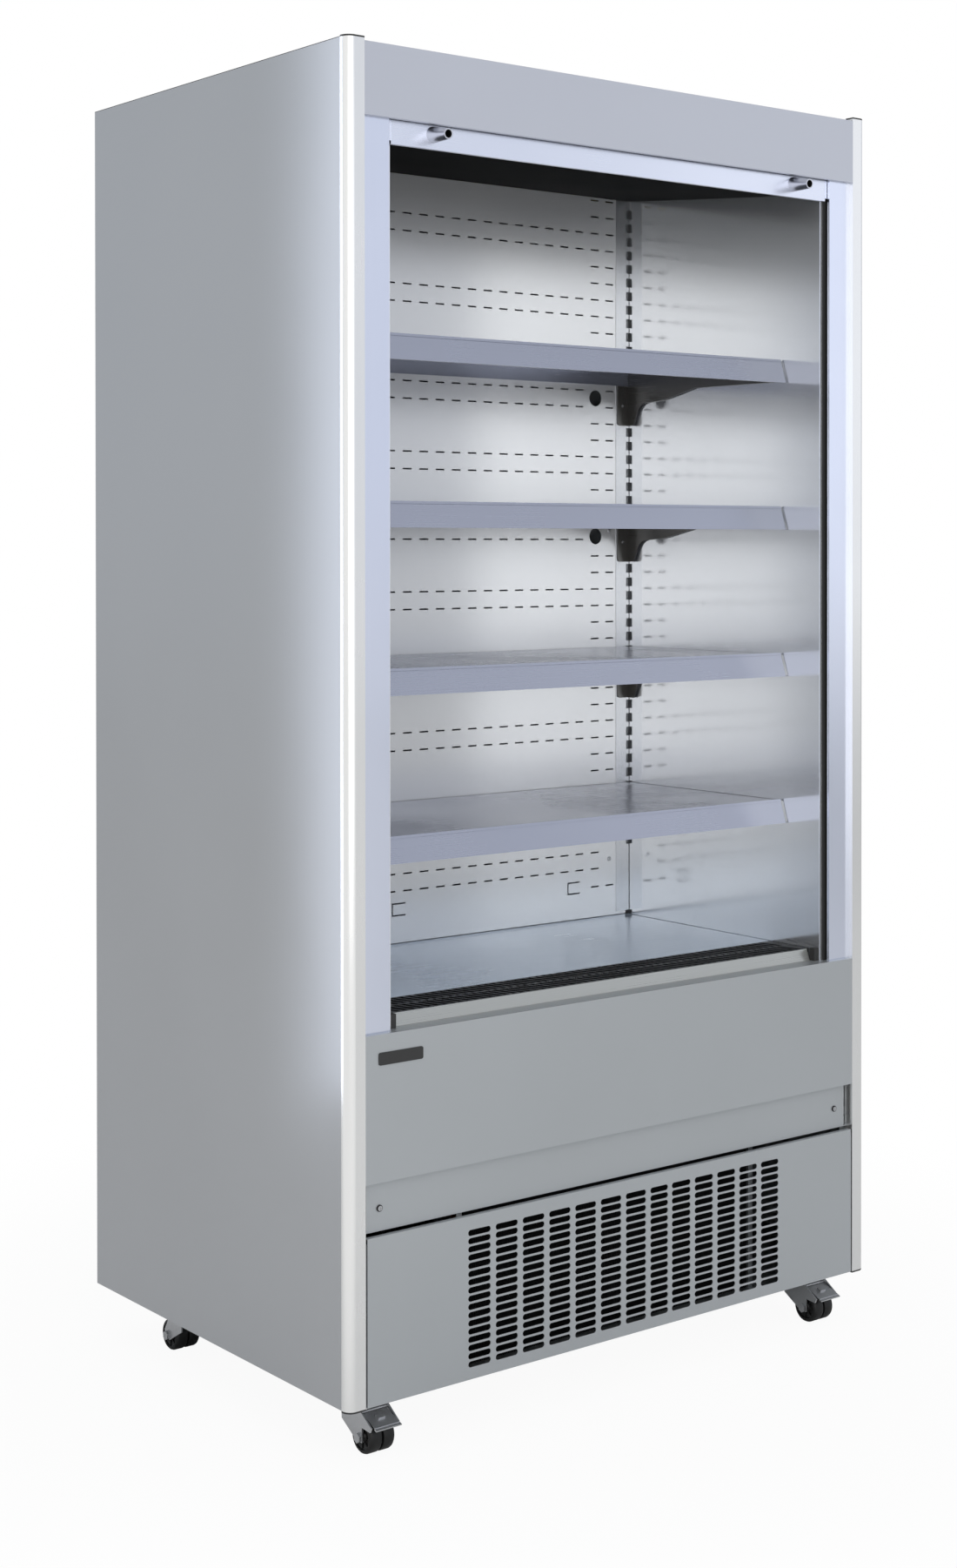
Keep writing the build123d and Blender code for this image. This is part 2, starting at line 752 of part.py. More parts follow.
def blank_plate():
    """Blank rounded plate on the front panel."""
    x = PLATE_LEFT + PLATE_LENGTH / 2
    z = PLATE_BOTTOM + PLATE_HEIGHT / 2
    outline = RectangleRounded(PLATE_LENGTH, PLATE_HEIGHT, PLATE_RADIUS)
    return Pos(x, y_at(0), z) * Rot(90, 0, 0) * extrude(outline, PLATE_THICK)


# ---- cold space ---------------------------------------------------------------
def inner_walls():
    """Polished side walls, each with a front flange turned out behind the frame."""
    walls = []
    low = MACHINE_TOP + BASE_SHEET
    for side in (-1, 1):
        wall = sided(
            side, WALL_INNER, WALL_INNER + SKIN, WALL_DEPTH, DUCT_DEPTH + SKIN, low, CEILING_TOP
        )
        flange = sided(
            side, WALL_INNER, POST_INNER, WALL_DEPTH, WALL_DEPTH + SKIN, low, CEILING_TOP
        )
        walls.append(wall + flange)
    return group(*walls)


def duct_wall():
    """Sheet on the foam behind the air duct, folded forward over the well floor."""
    back = slab(
        -WALL_INNER, WALL_INNER, DUCT_DEPTH, DUCT_DEPTH + SKIN, WELL_FLOOR - SKIN, CEILING_TOP
    )
    floor = slab(
        -WALL_INNER, WALL_INNER, SILL_FOOT_DEPTH, DUCT_DEPTH, WELL_FLOOR - SKIN, WELL_FLOOR
    )
    bore = DRAIN_DIA - 2 * DRAIN_WALL
    return back + floor - rod_z(TRAY_X, TRAY_DEPTH, WELL_FLOOR - SKIN, WELL_FLOOR, bore)


def dash_row(z, full, side_columns):
    """Slot outlines of one row: the side columns, and the middle ones if full."""
    columns = [side * x for x in side_columns for side in (-1, 1)]
    if full:
        columns += [DASH_FIRST_X - DASH_PITCH * i for i in range(DASH_COUNT)]
    y = y_at(BACK_DEPTH)
    return [slot_wire(x, y, z, DASH_LENGTH, DASH_HEIGHT) for x in columns]


def upper_back_panel():
    """Perforated panel above the top shelf."""
    holes = []
    for row in range(UPPER_ROWS):
        full = row % ROW_PATTERN in UPPER_FULL
        holes += dash_row(UPPER_ROW_TOP - row * ROW_PITCH, full, DASH_SIDE_X)
    top = CEILING_BACK_Z
    return pierced_sheet(
        -BACK_HALF, BACK_HALF, PANEL_SEAM_HIGH, top, BACK_DEPTH, SKIN, holes
    )


def main_back_panel():
    """Perforated panel behind the shelves, with four round ports."""
    holes = []
    for row in range(MAIN_ROWS):
        z = MAIN_ROW_TOP - row * ROW_PITCH
        by_port = any(abs(z - port) < PORT_RADIUS + DASH_LENGTH / 2 for port in PORT_Z)
        side_columns = DASH_SIDE_X[1:] if by_port else DASH_SIDE_X
        if row == MAIN_SCREW_ROW:
            side_columns = ()
        holes += dash_row(z, row % ROW_PATTERN in MAIN_FULL, side_columns)
    for z in PORT_Z:
        for side in (-1, 1):
            holes.append(ring_wire(side * PORT_X, y_at(BACK_DEPTH), z, PORT_RADIUS))
    return pierced_sheet(
        -BACK_HALF, BACK_HALF, PANEL_SEAM_LOW, PANEL_SEAM_HIGH, BACK_DEPTH, SKIN, holes
    )


def lance_wire(x, z):
    """C-shaped lance outline, open to the right."""
    length, height, line = LANCE_LENGTH, LANCE_HEIGHT, LANCE_LINE
    return polygon_wire(
        [
            (x, z),
            (x + length, z),
            (x + length, z + line),
            (x + line, z + line),
            (x + line, z + height - line),
            (x + length, z + height - line),
            (x + length, z + height),
            (x, z + height),
        ],
        y_at(BACK_DEPTH),
    )


def lower_duct_panel():
    """Lowest back panel with two full dash rows, a short one and four lances."""
    holes = []
    for z in LOWER_ROWS:
        holes += dash_row(z, True, DASH_SIDE_X[:1])
    holes += dash_row(LOWER_PAIR_ROW, False, DASH_SIDE_X)
    holes += [lance_wire(x, z) for x in LANCE_X for z in LANCE_Z]
    return pierced_sheet(
        -BACK_HALF, BACK_HALF, PANEL_FOOT, PANEL_SEAM_LOW, BACK_DEPTH, SKIN, holes
    )


def notch_levels():
    """Middle height of every notch in the shelf uprights."""
    return [NOTCH_LOWEST + NOTCH_PITCH * i for i in range(NOTCH_COUNT)]


def shelf_uprights():
    """Folded angles over the back panels' edges, notched every 25 mm for the hooks."""
    uprights = []
    front = BACK_DEPTH - UPRIGHT_PROUD
    top = ceiling_z(front)
    for side in (-1, 1):
        angle = sided(
            side, UPRIGHT_INNER, UPRIGHT_OUTER, front, front + SHEET, UPRIGHT_FOOT, top
        )
        angle += sided(
            side,
            UPRIGHT_OUTER - SHEET,
            UPRIGHT_OUTER,
            front,
            front + UPRIGHT_RETURN,
            UPRIGHT_FOOT,
            top,
        )
        cuts = [
            sided(
                side,
                NOTCH_INNER,
                UPRIGHT_OUTER,
                front,
                front + NOTCH_DEPTH,
                z - NOTCH_HEIGHT / 2,
                z + NOTCH_HEIGHT / 2,
            )
            for z in notch_levels()
        ]
        uprights.append(angle - cuts)
    return group(*uprights)


def canopy_panel():
    """Black sloping ceiling sheet with a folded front edge."""
    path = [
        (CANOPY_FRONT, ceiling_z(CANOPY_FRONT) + DECK_FLANGE),
        (CANOPY_FRONT, ceiling_z(CANOPY_FRONT)),
        (BACK_DEPTH - UPRIGHT_PROUD - FIT, ceiling_z(BACK_DEPTH - UPRIGHT_PROUD - FIT)),
    ]
    return prism_along_x(sheet_outline(path, SHEET), -WALL_INNER, WALL_INNER)


def air_outlet_grille():
    """Louvred outlet along the front of the ceiling, blowing the air curtain."""
    front = OUTLET_FRONT
    rear = CANOPY_FRONT
    outline = [
        (front, ceiling_z(front)),
        (rear, ceiling_z(rear)),
        (rear, ceiling_z(rear) + OUTLET_THICK),
        (front, ceiling_z(front) + OUTLET_THICK),
    ]
    body = prism_along_x(outline, -WALL_INNER, WALL_INNER)
    cells = int((rear - front - OUTLET_RIB) // OUTLET_CELL)
    margin = (rear - front - cells * OUTLET_CELL + OUTLET_RIB) / 2
    low = ceiling_z(front) - OUTLET_THICK
    high = ceiling_z(rear) + 2 * OUTLET_THICK
    bay = 2 * (WALL_INNER - GRILLE_BORDER) / OUTLET_BAYS
    cuts = []
    for cell in range(cells):
        start = front + margin + cell * OUTLET_CELL
        for i in range(OUTLET_BAYS):
            x = -WALL_INNER + GRILLE_BORDER + i * bay
            cuts.append(
                slab(
                    x + OUTLET_RIB,
                    x + bay - OUTLET_RIB,
                    start,
                    start + OUTLET_CELL - OUTLET_RIB,
                    low,
                    high,
                )
            )
    return body - cuts


# ---- shelves ------------------------------------------------------------------
def shelf(level):
    """Tray with a leaning front lip, a bead on top of it and a rear stiffener."""
    lean = LIP_LEAN / (LIP_RISE + LIP_DROP)
    lip_top = level + LIP_RISE
    lip_foot = level - LIP_DROP
    foot = SHELF_FRONT - LIP_LEAN
    path = [
        (SHELF_REAR - LIP_HEM, level - SHELF_STIFFENER),
        (SHELF_REAR, level - SHELF_STIFFENER),
        (SHELF_REAR, level),
        (SHELF_FRONT + LIP_BEAD, level),
        (SHELF_FRONT + LIP_BEAD / 2, lip_top),
        (SHELF_FRONT, lip_top),
        (foot, lip_foot),
        (foot + LIP_HEM, lip_foot),
    ]
    tray = prism_along_x(sheet_outline(path, SHEET), -SHELF_HALF, SHELF_HALF)
    bead = [
        (SHELF_FRONT + SHEET / 2, lip_top),
        (SHELF_FRONT - LIP_BEAD_PROUD, lip_top),
        (SHELF_FRONT - LIP_BEAD_PROUD - lean * LIP_BEAD, lip_top - LIP_BEAD),
        (SHELF_FRONT + SHEET / 2 - lean * LIP_BEAD, lip_top - LIP_BEAD),
    ]
    tray += prism_along_x(bead, -SHELF_HALF, SHELF_HALF)
    for side in (-1, 1):
        tray -= sided(
            side,
            BLADE_OUTER - BLADE_THICK - LIFT_GAP,
            SHELF_HALF,
            SHELF_REAR - LIP_HEM,
            SHELF_REAR,
            level - SHELF_STIFFENER,
            level - SHEET,
        )
    return tray


def bracket(side, level):
    """Shelf bracket: blade, rear flange on the upright and two hooks."""
    under = level - SHEET
    drop = level - BLADE_DROP
    rear = BACK_DEPTH - UPRIGHT_PROUD - FIT
    nose = SHELF_FRONT + LIP_BEAD + LIP_LEAN
    outline = [
        (rear, under),
        (nose, under),
        (nose, level - BLADE_NOSE_DROP),
        *[(rear - ahead, level - below) for ahead, below in BLADE_BELLY],
        (rear - BLADE_HEEL, drop),
        (rear, drop),
    ]
    inner, outer = BLADE_OUTER - BLADE_THICK, BLADE_OUTER
    blade = prism_along_x(outline, side * inner, side * outer)
    flange_front = rear - BRACKET_FLANGE_THICK
    under_tray = level - SHELF_STIFFENER - LIFT_GAP
    flange = sided(side, BRACKET_FLANGE_INNER, inner, flange_front, rear, drop, under_tray)
    corners = flange.edges().filter_by(Axis.Y).sort_by(Axis.Z)[:2]
    inner_corner = min(corners, key=lambda edge: abs(edge.center().X))
    flange = fillet(inner_corner, BRACKET_FLANGE_RADIUS)
    hole_z = (drop + under_tray) / 2
    hole_x = side * (BRACKET_FLANGE_INNER + inner) / 2
    piece = blade + flange - rod_y(hole_x, flange_front, rear, hole_z, BRACKET_HOLE)
    notches = [z for z in notch_levels() if drop < z - HOOK_HEIGHT and z + HOOK_HEIGHT < under]
    behind = BACK_DEPTH - UPRIGHT_PROUD + SHEET + HOOK_SLACK
    end = behind + HOOK_THICK
    for z in (notches[0], notches[-1]):
        low = z - HOOK_HEIGHT / 2
        tongue = sided(side, inner, outer, rear, end, low, low + HOOK_HEIGHT)
        tooth_foot = z - NOTCH_HEIGHT / 2 - HOOK_TOOTH
        tooth = sided(side, inner, outer, behind, end, tooth_foot, low)
        piece += tongue + tooth
    return piece


def shelf_brackets():
    """A pair of brackets under every shelf."""
    return group(*[bracket(side, level) for level in shelf_levels() for side in (-1, 1)])


# ---- deck, air return and sill ------------------------------------------------
def deck_panel():
    """Lift-out floor of the display space, notched round the uprights."""
    path = [
        (DECK_REAR, DECK_Z + DECK_RISE),
        (DECK_REAR - DECK_FOLD, DECK_Z),
        (DECK_FRONT, DECK_Z),
        (DECK_FRONT, DECK_Z - DECK_FLANGE),
        (DECK_FRONT + DECK_FLANGE / 2, DECK_Z - DECK_FLANGE),
    ]
    deck = prism_along_x(sheet_outline(path, SHEET), -DECK_HALF, DECK_HALF)
    clear = BACK_DEPTH - UPRIGHT_PROUD - LIFT_GAP
    for side in (-1, 1):
        deck -= sided(
            side,
            UPRIGHT_INNER - LIFT_GAP,
            WALL_INNER,
            clear,
            BACK_DEPTH,
            DECK_Z - DECK_FLANGE,
            DECK_Z + DECK_FLANGE,
        )
    return deck


def deck_supports():
    """Angle rails on the side walls that carry the deck and the air-return grille."""
    spans = (
        (DECK_FRONT + DECK_FLANGE, BACK_DEPTH - DECK_FOLD, DECK_Z - SHEET),
        (GRILLE_FRONT + SILL_CREST, DECK_FRONT - LIFT_GAP, DECK_Z - GRILLE_THICK),
    )
    rails = []
    for side in (-1, 1):
        for near, far, top in spans:
            shelf_leg = sided(
                side, WALL_INNER - 2 * DECK_FOLD, WALL_INNER, near, far, top - SHEET, top
            )
            wall_leg = sided(
                side, WALL_INNER - SHEET, WALL_INNER, near, far, top - DECK_FLANGE, top
            )
            rails.append(shelf_leg + wall_leg)
    return group(*rails)


def air_return_grille():
    """Black grille with two rows of slanted slots on either side of a rib."""
    rear = DECK_FRONT - LIFT_GAP
    low = DECK_Z - GRILLE_THICK
    middle = (GRILLE_FRONT + rear) / 2
    rows = (
        (GRILLE_FRONT + GRILLE_BORDER, middle - GRILLE_RIB / 2),
        (middle + GRILLE_RIB / 2, rear - GRILLE_BORDER),
    )
    count = int((2 * GRILLE_HALF - 2 * GRILLE_BORDER - GRILLE_SLANT) // GRILLE_PITCH)
    start = -count * GRILLE_PITCH / 2
    width = GRILLE_PITCH - GRILLE_RIB
    holes = []
    for near, far in rows:
        for i in range(count):
            x = start + i * GRILLE_PITCH + GRILLE_RIB / 2
            shift = GRILLE_SLANT / 2
            points = [
                (x + shift, near),
                (x + shift + width, near),
                (x - shift + width, far),
                (x - shift, far),
            ]
            holes.append(
                Wire.make_polygon([(px, y_at(d), low) for px, d in points], close=True)
            )
    plan = Wire.make_polygon(
        [
            (x, y_at(d), low)
            for x, d in (
                (-GRILLE_HALF, GRILLE_FRONT),
                (GRILLE_HALF, GRILLE_FRONT),
                (GRILLE_HALF, rear),
                (-GRILLE_HALF, rear),
            )
        ],
        close=True,
    )
    return Part() + Solid.extrude(Face(plan, holes), Vector(0, 0, GRILLE_THICK))


def front_sill():
    """Stainless front edge of the well, its crest carrying the grille's front."""
    path = [
        (GRILLE_FRONT + SILL_CREST, DECK_Z - GRILLE_THICK),
        (GRILLE_FRONT - FIT, DECK_Z - GRILLE_THICK),
        (GRILLE_FRONT - FIT, DECK_Z),
        (SILL_TOP_DEPTH, DECK_Z),
        (SILL_FOOT_DEPTH, PANEL_LEDGE),
        (SILL_FOOT_DEPTH, WELL_FLOOR),
    ]
    crest = prism_along_x(sheet_outline(path[3:], SHEET), -SILL_HALF, SILL_HALF)
    cap = slab(
        -SILL_HALF,
        SILL_HALF,
        SILL_TOP_DEPTH,
        GRILLE_FRONT - FIT,
        DECK_Z - GRILLE_THICK - SHEET,
        DECK_Z,
    )
    seat = slab(
        -SILL_HALF,
        SILL_HALF,
        SILL_TOP_DEPTH,
        GRILLE_FRONT + SILL_CREST,
        DECK_Z - GRILLE_THICK - SHEET,
        DECK_Z - GRILLE_THICK,
    )
    return crest + cap + seat


def sill_end_blocks():
    """Two dark blocks that close the ends of the sill against the side walls."""
    return group(
        *[
            sided(
                side,
                SILL_HALF,
                WALL_INNER,
                WALL_DEPTH + SKIN,
                WALL_DEPTH + SKIN + SILL_BLOCK_DEPTH,
                PANEL_LEDGE,
                SILL_BLOCK_TOP,
            )
            for side in (-1, 1)
        ]
    )


# ---- night blind --------------------------------------------------------------
def blind_cassette():
    """Sheet housing across the top, open at the front, with two end plates."""
    path = [
        (CASSETTE_MOUTH, CASSETTE_BOTTOM),
        (CASSETTE_REAR, CASSETTE_BOTTOM),
        (CASSETTE_REAR, CASSETTE_TOP),
        (POST_DEPTH, CASSETTE_TOP),
    ]
    housing = prism_along_x(sheet_outline(path, SHEET), -WALL_INNER, WALL_INNER)
    for side in (-1, 1):
        housing += sided(
            side,
            WALL_INNER - CASSETTE_END,
            WALL_INNER,
            CASSETTE_MOUTH,
            CASSETTE_REAR,
            CASSETTE_BOTTOM,
            CASSETTE_TOP,
        )
        housing -= rod_x(
            side * (WALL_INNER - CASSETTE_END),
            side * WALL_INNER,
            roller_depth(),
            ROLLER_Z,
            ROLLER_PIN_DIA + 2 * AXLE_BORE_GAP,
        )
    return housing


def curtain_depth():
    """Depth of the hanging curtain's front face."""
    return BAR_DEPTH + (BAR_THICK - CURTAIN_THICK) / 2


def roller_depth():
    """Depth of the roller's axis: the roll's front lines up with the curtain."""
    return curtain_depth() + CURTAIN_THICK + FIT + ROLL_DIA / 2


def blind_roller():
    """Roller tube with end pins, and the curtain wound on it."""
    tube = rod_x(-ROLLER_HALF, ROLLER_HALF, roller_depth(), ROLLER_Z, ROLLER_DIA)
    pins = rod_x(
        -WALL_INNER + FIT, WALL_INNER - FIT, roller_depth(), ROLLER_Z, ROLLER_PIN_DIA
    )
    wound = rod_x(-ROLL_HALF, ROLL_HALF, roller_depth(), ROLLER_Z, ROLL_DIA)
    return group(tube + pins, wound - tube)


def blind_curtain():
    """Short strip of curtain between the roll and the bar."""
    depth = curtain_depth()
    return slab(
        -ROLL_HALF, ROLL_HALF, depth, depth + CURTAIN_THICK, BAR_BOTTOM + BAR_HEIGHT, ROLLER_Z
    )


def blind_bar():
    """Hollow bottom bar of the blind, with a glide in each side guide."""
    top = BAR_BOTTOM + BAR_HEIGHT
    rear = BAR_DEPTH + BAR_THICK
    bar = slab(-BAR_HALF, BAR_HALF, BAR_DEPTH, rear, BAR_BOTTOM, top)
    bar -= slab(
        -BAR_HALF,
        BAR_HALF,
        BAR_DEPTH + BAR_WALL,
        rear - BAR_WALL,
        BAR_BOTTOM + BAR_WALL,
        top - BAR_WALL,
    )
    middle_z = (BAR_BOTTOM + top) / 2
    middle_d = (BAR_DEPTH + rear) / 2
    glides = [
        sided(
            side,
            BAR_HALF,
            BAR_HALF + BAR_GLIDE_LENGTH,
            middle_d - BAR_GLIDE_THICK / 2,
            middle_d + BAR_GLIDE_THICK / 2,
            middle_z - BAR_GLIDE_HEIGHT / 2,
            middle_z + BAR_GLIDE_HEIGHT / 2,
        )
        for side in (-1, 1)
    ]
    return group(bar, *glides)


def blind_knobs():
    """Two hollow tapered pull knobs that droop slightly."""
    droop = math.radians(KNOB_DROOP)
    reach = KNOB_PROUD + BAR_DEPTH
    length = (reach - KNOB_TIP_DIA / 2 * math.sin(droop)) / math.cos(droop)
    seat = KNOB_BASE_DIA / 2 * math.tan(droop)
    cone = Pos(0, 0, length / 2) * Cone(KNOB_BASE_DIA / 2, KNOB_TIP_DIA / 2, length)
    root = Pos(0, 0, -seat) * Cylinder(KNOB_BASE_DIA / 2, 2 * seat)
    bore = Pos(0, 0, length - KNOB_BORE_DEPTH / 2) * Cylinder(KNOB_BORE / 2, KNOB_BORE_DEPTH)
    front = slab(-WIDTH, WIDTH, -2 * BAR_DEPTH - KNOB_PROUD, BAR_DEPTH, BAR_BOTTOM, FASCIA_BOTTOM)
    knobs = []
    for side in (-1, 1):
        place = Pos(side * KNOB_X, y_at(BAR_DEPTH), KNOB_Z) * Rot(90 + KNOB_DROOP, 0, 0)
        knobs.append((place * (cone + root - bore)) & front)
    return group(*knobs)


def blind_guides():
    """Black channels in which the bar's glides run, open towards the middle."""
    guides = []
    front = FRAME_DEPTH + SHEET
    for side in (-1, 1):
        path = [
            (side * (FRAME_INNER + SHEET), front),
            (side * GUIDE_OUTER, front),
            (side * GUIDE_OUTER, WALL_DEPTH),
            (side * GUIDE_MOUTH, WALL_DEPTH),
        ]
        outline = sheet_outline(path, side * GUIDE_WALL)
        guides.append(prism_along_z(outline, PANEL_LEDGE, FASCIA_BOTTOM + BAR_HEIGHT))
    return group(*guides)


# ---- machine space ------------------------------------------------------------
def finned_coil(half, d0, d1, z0, z1, fins, fin, plate, tube, rows):
    """Finned block: end plates, fins and tube rows that join them."""
    coil = Part()
    for side in (-1, 1):
        coil += sided(side, half - plate, half, d0, d1, z0, z1)
    step = 2 * (half - plate) / (fins + 1)
    fin_solids = []
    for i in range(fins):
        x = -half + plate + step * (i + 1)
        fin_solids.append(slab(x - fin / 2, x + fin / 2, d0 + fin, d1 - fin, z0 + fin, z1 - fin))
    rise = (z1 - z0) / rows
    tubes = []
    for row in range(rows):
        for place in TUBE_PLACES:
            depth = d0 + (d1 - d0) * place
            tubes.append(rod_x(-half, half, depth, z0 + rise * (row + 0.5), tube))
    return coil + tubes + fin_solids


def condenser():
    """Condenser behind the vent panel, standing on the base pan."""
    return finned_coil(
        CONDENSER_HALF,
        CONDENSER_DEPTH,
        CONDENSER_DEPTH + CONDENSER_THICK,
        BODY_BOTTOM + BASE_SHEET,
        CONDENSER_TOP,
        CONDENSER_FINS,
        FIN_THICK,
        CONDENSER_PLATE,
        TUBE_DIA,
        TUBE_ROWS,
    )


def fan_axis_z():
    """Height of the condenser fan's axis."""
    return (BODY_BOTTOM + BASE_SHEET + CONDENSER_TOP) / 2


def fan_wheel(x, depth, z, diameter, hub_dia, hub_length, shaft):
    """Axial fan: hub with a shaft bore and pitched blades."""
    wheel = rod_y(x, depth, depth + hub_length, z, hub_dia)
    root = hub_dia / 2 - FAN_BLADE_THICK
    reach = diameter / 2 - root
    chord = FAN_BLADE_CHORD * hub_dia / FAN_HUB_DIA
    for i in range(FAN_BLADES):
        blade = Pos(0, 0, root + reach / 2) * (
            Rot(0, 0, FAN_PITCH) * Box(chord, FAN_BLADE_THICK, reach)
        )
        turn = Pos(x, y_at(depth + hub_length / 2), z) * Rot(0, 360 / FAN_BLADES * i, 0)
        wheel += turn * blade
    disc = rod_y(x, depth - hub_length, depth + 2 * hub_length, z, diameter)
    wheel = wheel & disc
    return wheel - rod_y(x, depth, depth + hub_length, z, shaft + 2 * FAN_SHAFT_GAP)


def motor_on_arms(x, z, d_plate, d_motor, length, diameter, ring, shaft_to, shaft):
    """Motor behind a ring, held by four arms, with its shaft pointing forward."""
    motor = rod_y(x, d_motor, d_motor + length, z, diameter)
    motor += rod_y(x, shaft_to, d_motor + length / 2, z, shaft)
    arm = MOTOR_ARM * diameter / MOTOR_DIA
    out = ring / 2 + arm + MOTOR_ARM_EDGE
    rear = d_motor + arm
    for sx, sz in ((1, 0), (-1, 0), (0, 1), (0, -1)):
        if sx:
            motor += slab(x, x + sx * out, d_motor, rear, z - arm / 2, z + arm / 2)
            end = (x + sx * (out - arm), x + sx * out)
            motor += slab(end[0], end[1], d_plate, rear, z - arm / 2, z + arm / 2)
        else:
            motor += slab(x - arm / 2, x + arm / 2, d_motor, rear, z, z + sz * out)
            end = (z + sz * (out - arm), z + sz * out)
            motor += slab(x - arm / 2, x + arm / 2, d_plate, rear, end[0], end[1])
    return motor


def fan_front():
    """Depth of the condenser fan's front face."""
    return CONDENSER_DEPTH + CONDENSER_THICK + SHROUD_DEPTH - FAN_HUB_LENGTH


def condenser_fan_shroud():
    """Shroud box behind the condenser, with the fan ring and its motor."""
    d0 = CONDENSER_DEPTH + CONDENSER_THICK
    d1 = d0 + SHROUD_DEPTH
    low = BODY_BOTTOM + BASE_SHEET
    box = slab(-CONDENSER_HALF, CONDENSER_HALF, d0, d1, low, CONDENSER_TOP)
    t = SHROUD_THICK
    box -= slab(
        -CONDENSER_HALF + t, CONDENSER_HALF - t, d0, d1 - t, low + t, CONDENSER_TOP - t
    )
    ring = FAN_DIA + 2 * FAN_RING_GAP
    box -= rod_y(0, d0, d1, fan_axis_z(), ring)
    box += motor_on_arms(
        0, fan_axis_z(), d1, d1 + 2 * MOTOR_ARM, MOTOR_LENGTH, MOTOR_DIA, ring, fan_front(),
        FAN_SHAFT_DIA,
    )
    return box


def condenser_fan():
    """Fan that pulls air through the condenser."""
    return fan_wheel(
        0, fan_front(), fan_axis_z(), FAN_DIA, FAN_HUB_DIA, FAN_HUB_LENGTH, FAN_SHAFT_DIA
    )


def compressor():
    """Welded shell on a base plate with four rubber feet, and two pipe stubs."""
    x, d = COMPRESSOR_X, COMPRESSOR_DEPTH
    floor = BODY_BOTTOM + BASE_SHEET
    width, depth, plate = COMPRESSOR_PLATE
    feet = []
    for sx in (-1, 1):
        for sd in (-1, 1):
            fx = x + sx * (width - COMPRESSOR_FOOT_DIA) / 2
            fd = d + sd * (depth - COMPRESSOR_FOOT_DIA) / 2
            feet.append(
                rod_z(fx, fd, floor, floor + COMPRESSOR_FOOT, COMPRESSOR_FOOT_DIA)
            )
    base = floor + COMPRESSOR_FOOT
    mount = slab(x - width / 2, x + width / 2, d - depth / 2, d + depth / 2, base, base + plate)
    shell = rod_z(x, d, base + plate, base + plate + COMPRESSOR_BODY, COMPRESSOR_DIA)
    top = base + plate + COMPRESSOR_BODY
    dome = Pos(x, y_at(d), top) * scale(
        Sphere(COMPRESSOR_DIA / 2, arc_size1=0), (1, 1, 2 * COMPRESSOR_DOME / COMPRESSOR_DIA)
    )
    stub_z = base + plate + COMPRESSOR_BODY / 2
    reach = COMPRESSOR_DIA / 2 + STUB_LENGTH
    stubs = rod_x(x - reach, x, d, stub_z, STUB_DIA) + rod_x(
        x - reach, x, d, stub_z - 2 * STUB_DIA, STUB_DIA
    )
    box = slab(
        x + COMPRESSOR_DIA / 2 - STUB_DIA,
        x + COMPRESSOR_DIA / 2 + STUB_LENGTH,
        d - STUB_LENGTH,
        d + STUB_LENGTH,
        base + plate + STUB_LENGTH,
        base + plate + 3 * STUB_LENGTH,
    )
    return group(mount + shell + dome + stubs + box, *feet)


def condensate_tray():
    """Open tray on the base pan under the drain."""
    x, d = TRAY_X, TRAY_DEPTH
    width, depth, height = TRAY_SIZE
    low = BODY_BOTTOM + BASE_SHEET
    w = TRAY_WALL
    tray = slab(x - width / 2, x + width / 2, d - depth / 2, d + depth / 2, low, low + height)
    return tray - slab(
        x - width / 2 + w,
        x + width / 2 - w,
        d - depth / 2 + w,
        d + depth / 2 - w,
        low + w,
        low + height,
    )


def drain_pipe():
    """Straight drain from the well floor down into the condensate tray."""
    foot = BODY_BOTTOM + BASE_SHEET + TRAY_SIZE[2] - DRAIN_DIA
    top = WELL_FLOOR - SKIN
    pipe = rod_z(TRAY_X, TRAY_DEPTH, foot, top, DRAIN_DIA)
    return pipe - rod_z(TRAY_X, TRAY_DEPTH, foot, top, DRAIN_DIA - 2 * DRAIN_WALL)


def control_box():
    """Electrical box on the base pan with a cable gland through the rear cover."""
    width, depth, height = BOX_SIZE
    low = BODY_BOTTOM + BASE_SHEET
    rear = BODY_DEPTH - SKIN - BOX_GAP
    box = slab(BOX_X - width / 2, BOX_X + width / 2, rear - depth, rear, low, low + height)
    z = low + height / 2
    gland = rod_y(BOX_X, rear, BODY_DEPTH, z, GLAND_DIA)
    return box + gland - rod_y(BOX_X, rear, BODY_DEPTH, z, GLAND_BORE)


# ---- cooling coil -------------------------------------------------------------
def evaporator():
    """Finned coil standing on the well floor."""
    return finned_coil(
        COIL_HALF,
        COIL_FRONT,
        COIL_REAR,
        WELL_FLOOR,
        WELL_FLOOR + COIL_HEIGHT,
        COIL_FINS,
        FIN_THICK,
        CONDENSER_PLATE,
        TUBE_DIA,
        COIL_TUBE_ROWS,
    )


def coil_fan_z():
    """Height of the coil fan's axis."""
    return WELL_FLOOR + COIL_HEIGHT / 2


def evaporator_fan_plate():
    """Baffle in front of the coil with the fan ring and motor."""
    ring = COIL_FAN_DIA + FAN_RING_GAP
    top = DECK_Z - SHEET - DECK_FLANGE - LIFT_GAP
    plate = slab(
        -WALL_INNER + FIT,
        WALL_INNER - FIT,
        FAN_PLATE_DEPTH,
        FAN_PLATE_DEPTH + SHEET,
        WELL_FLOOR,
        top,
    )
    plate -= rod_y(0, FAN_PLATE_DEPTH, FAN_PLATE_DEPTH + SHEET, coil_fan_z(), ring)
    back = FAN_PLATE_DEPTH + SHEET
    return plate + motor_on_arms(
        0,
        coil_fan_z(),
        back,
        back + FAN_HUB_LENGTH / 2,
        COIL_MOTOR_LENGTH,
        COIL_MOTOR_DIA,
        ring,
        coil_fan_front(),
        FAN_SHAFT_DIA,
    )


def coil_fan_front():
    """Depth of the coil fan's front face."""
    return FAN_PLATE_DEPTH - FAN_HUB_LENGTH / 2


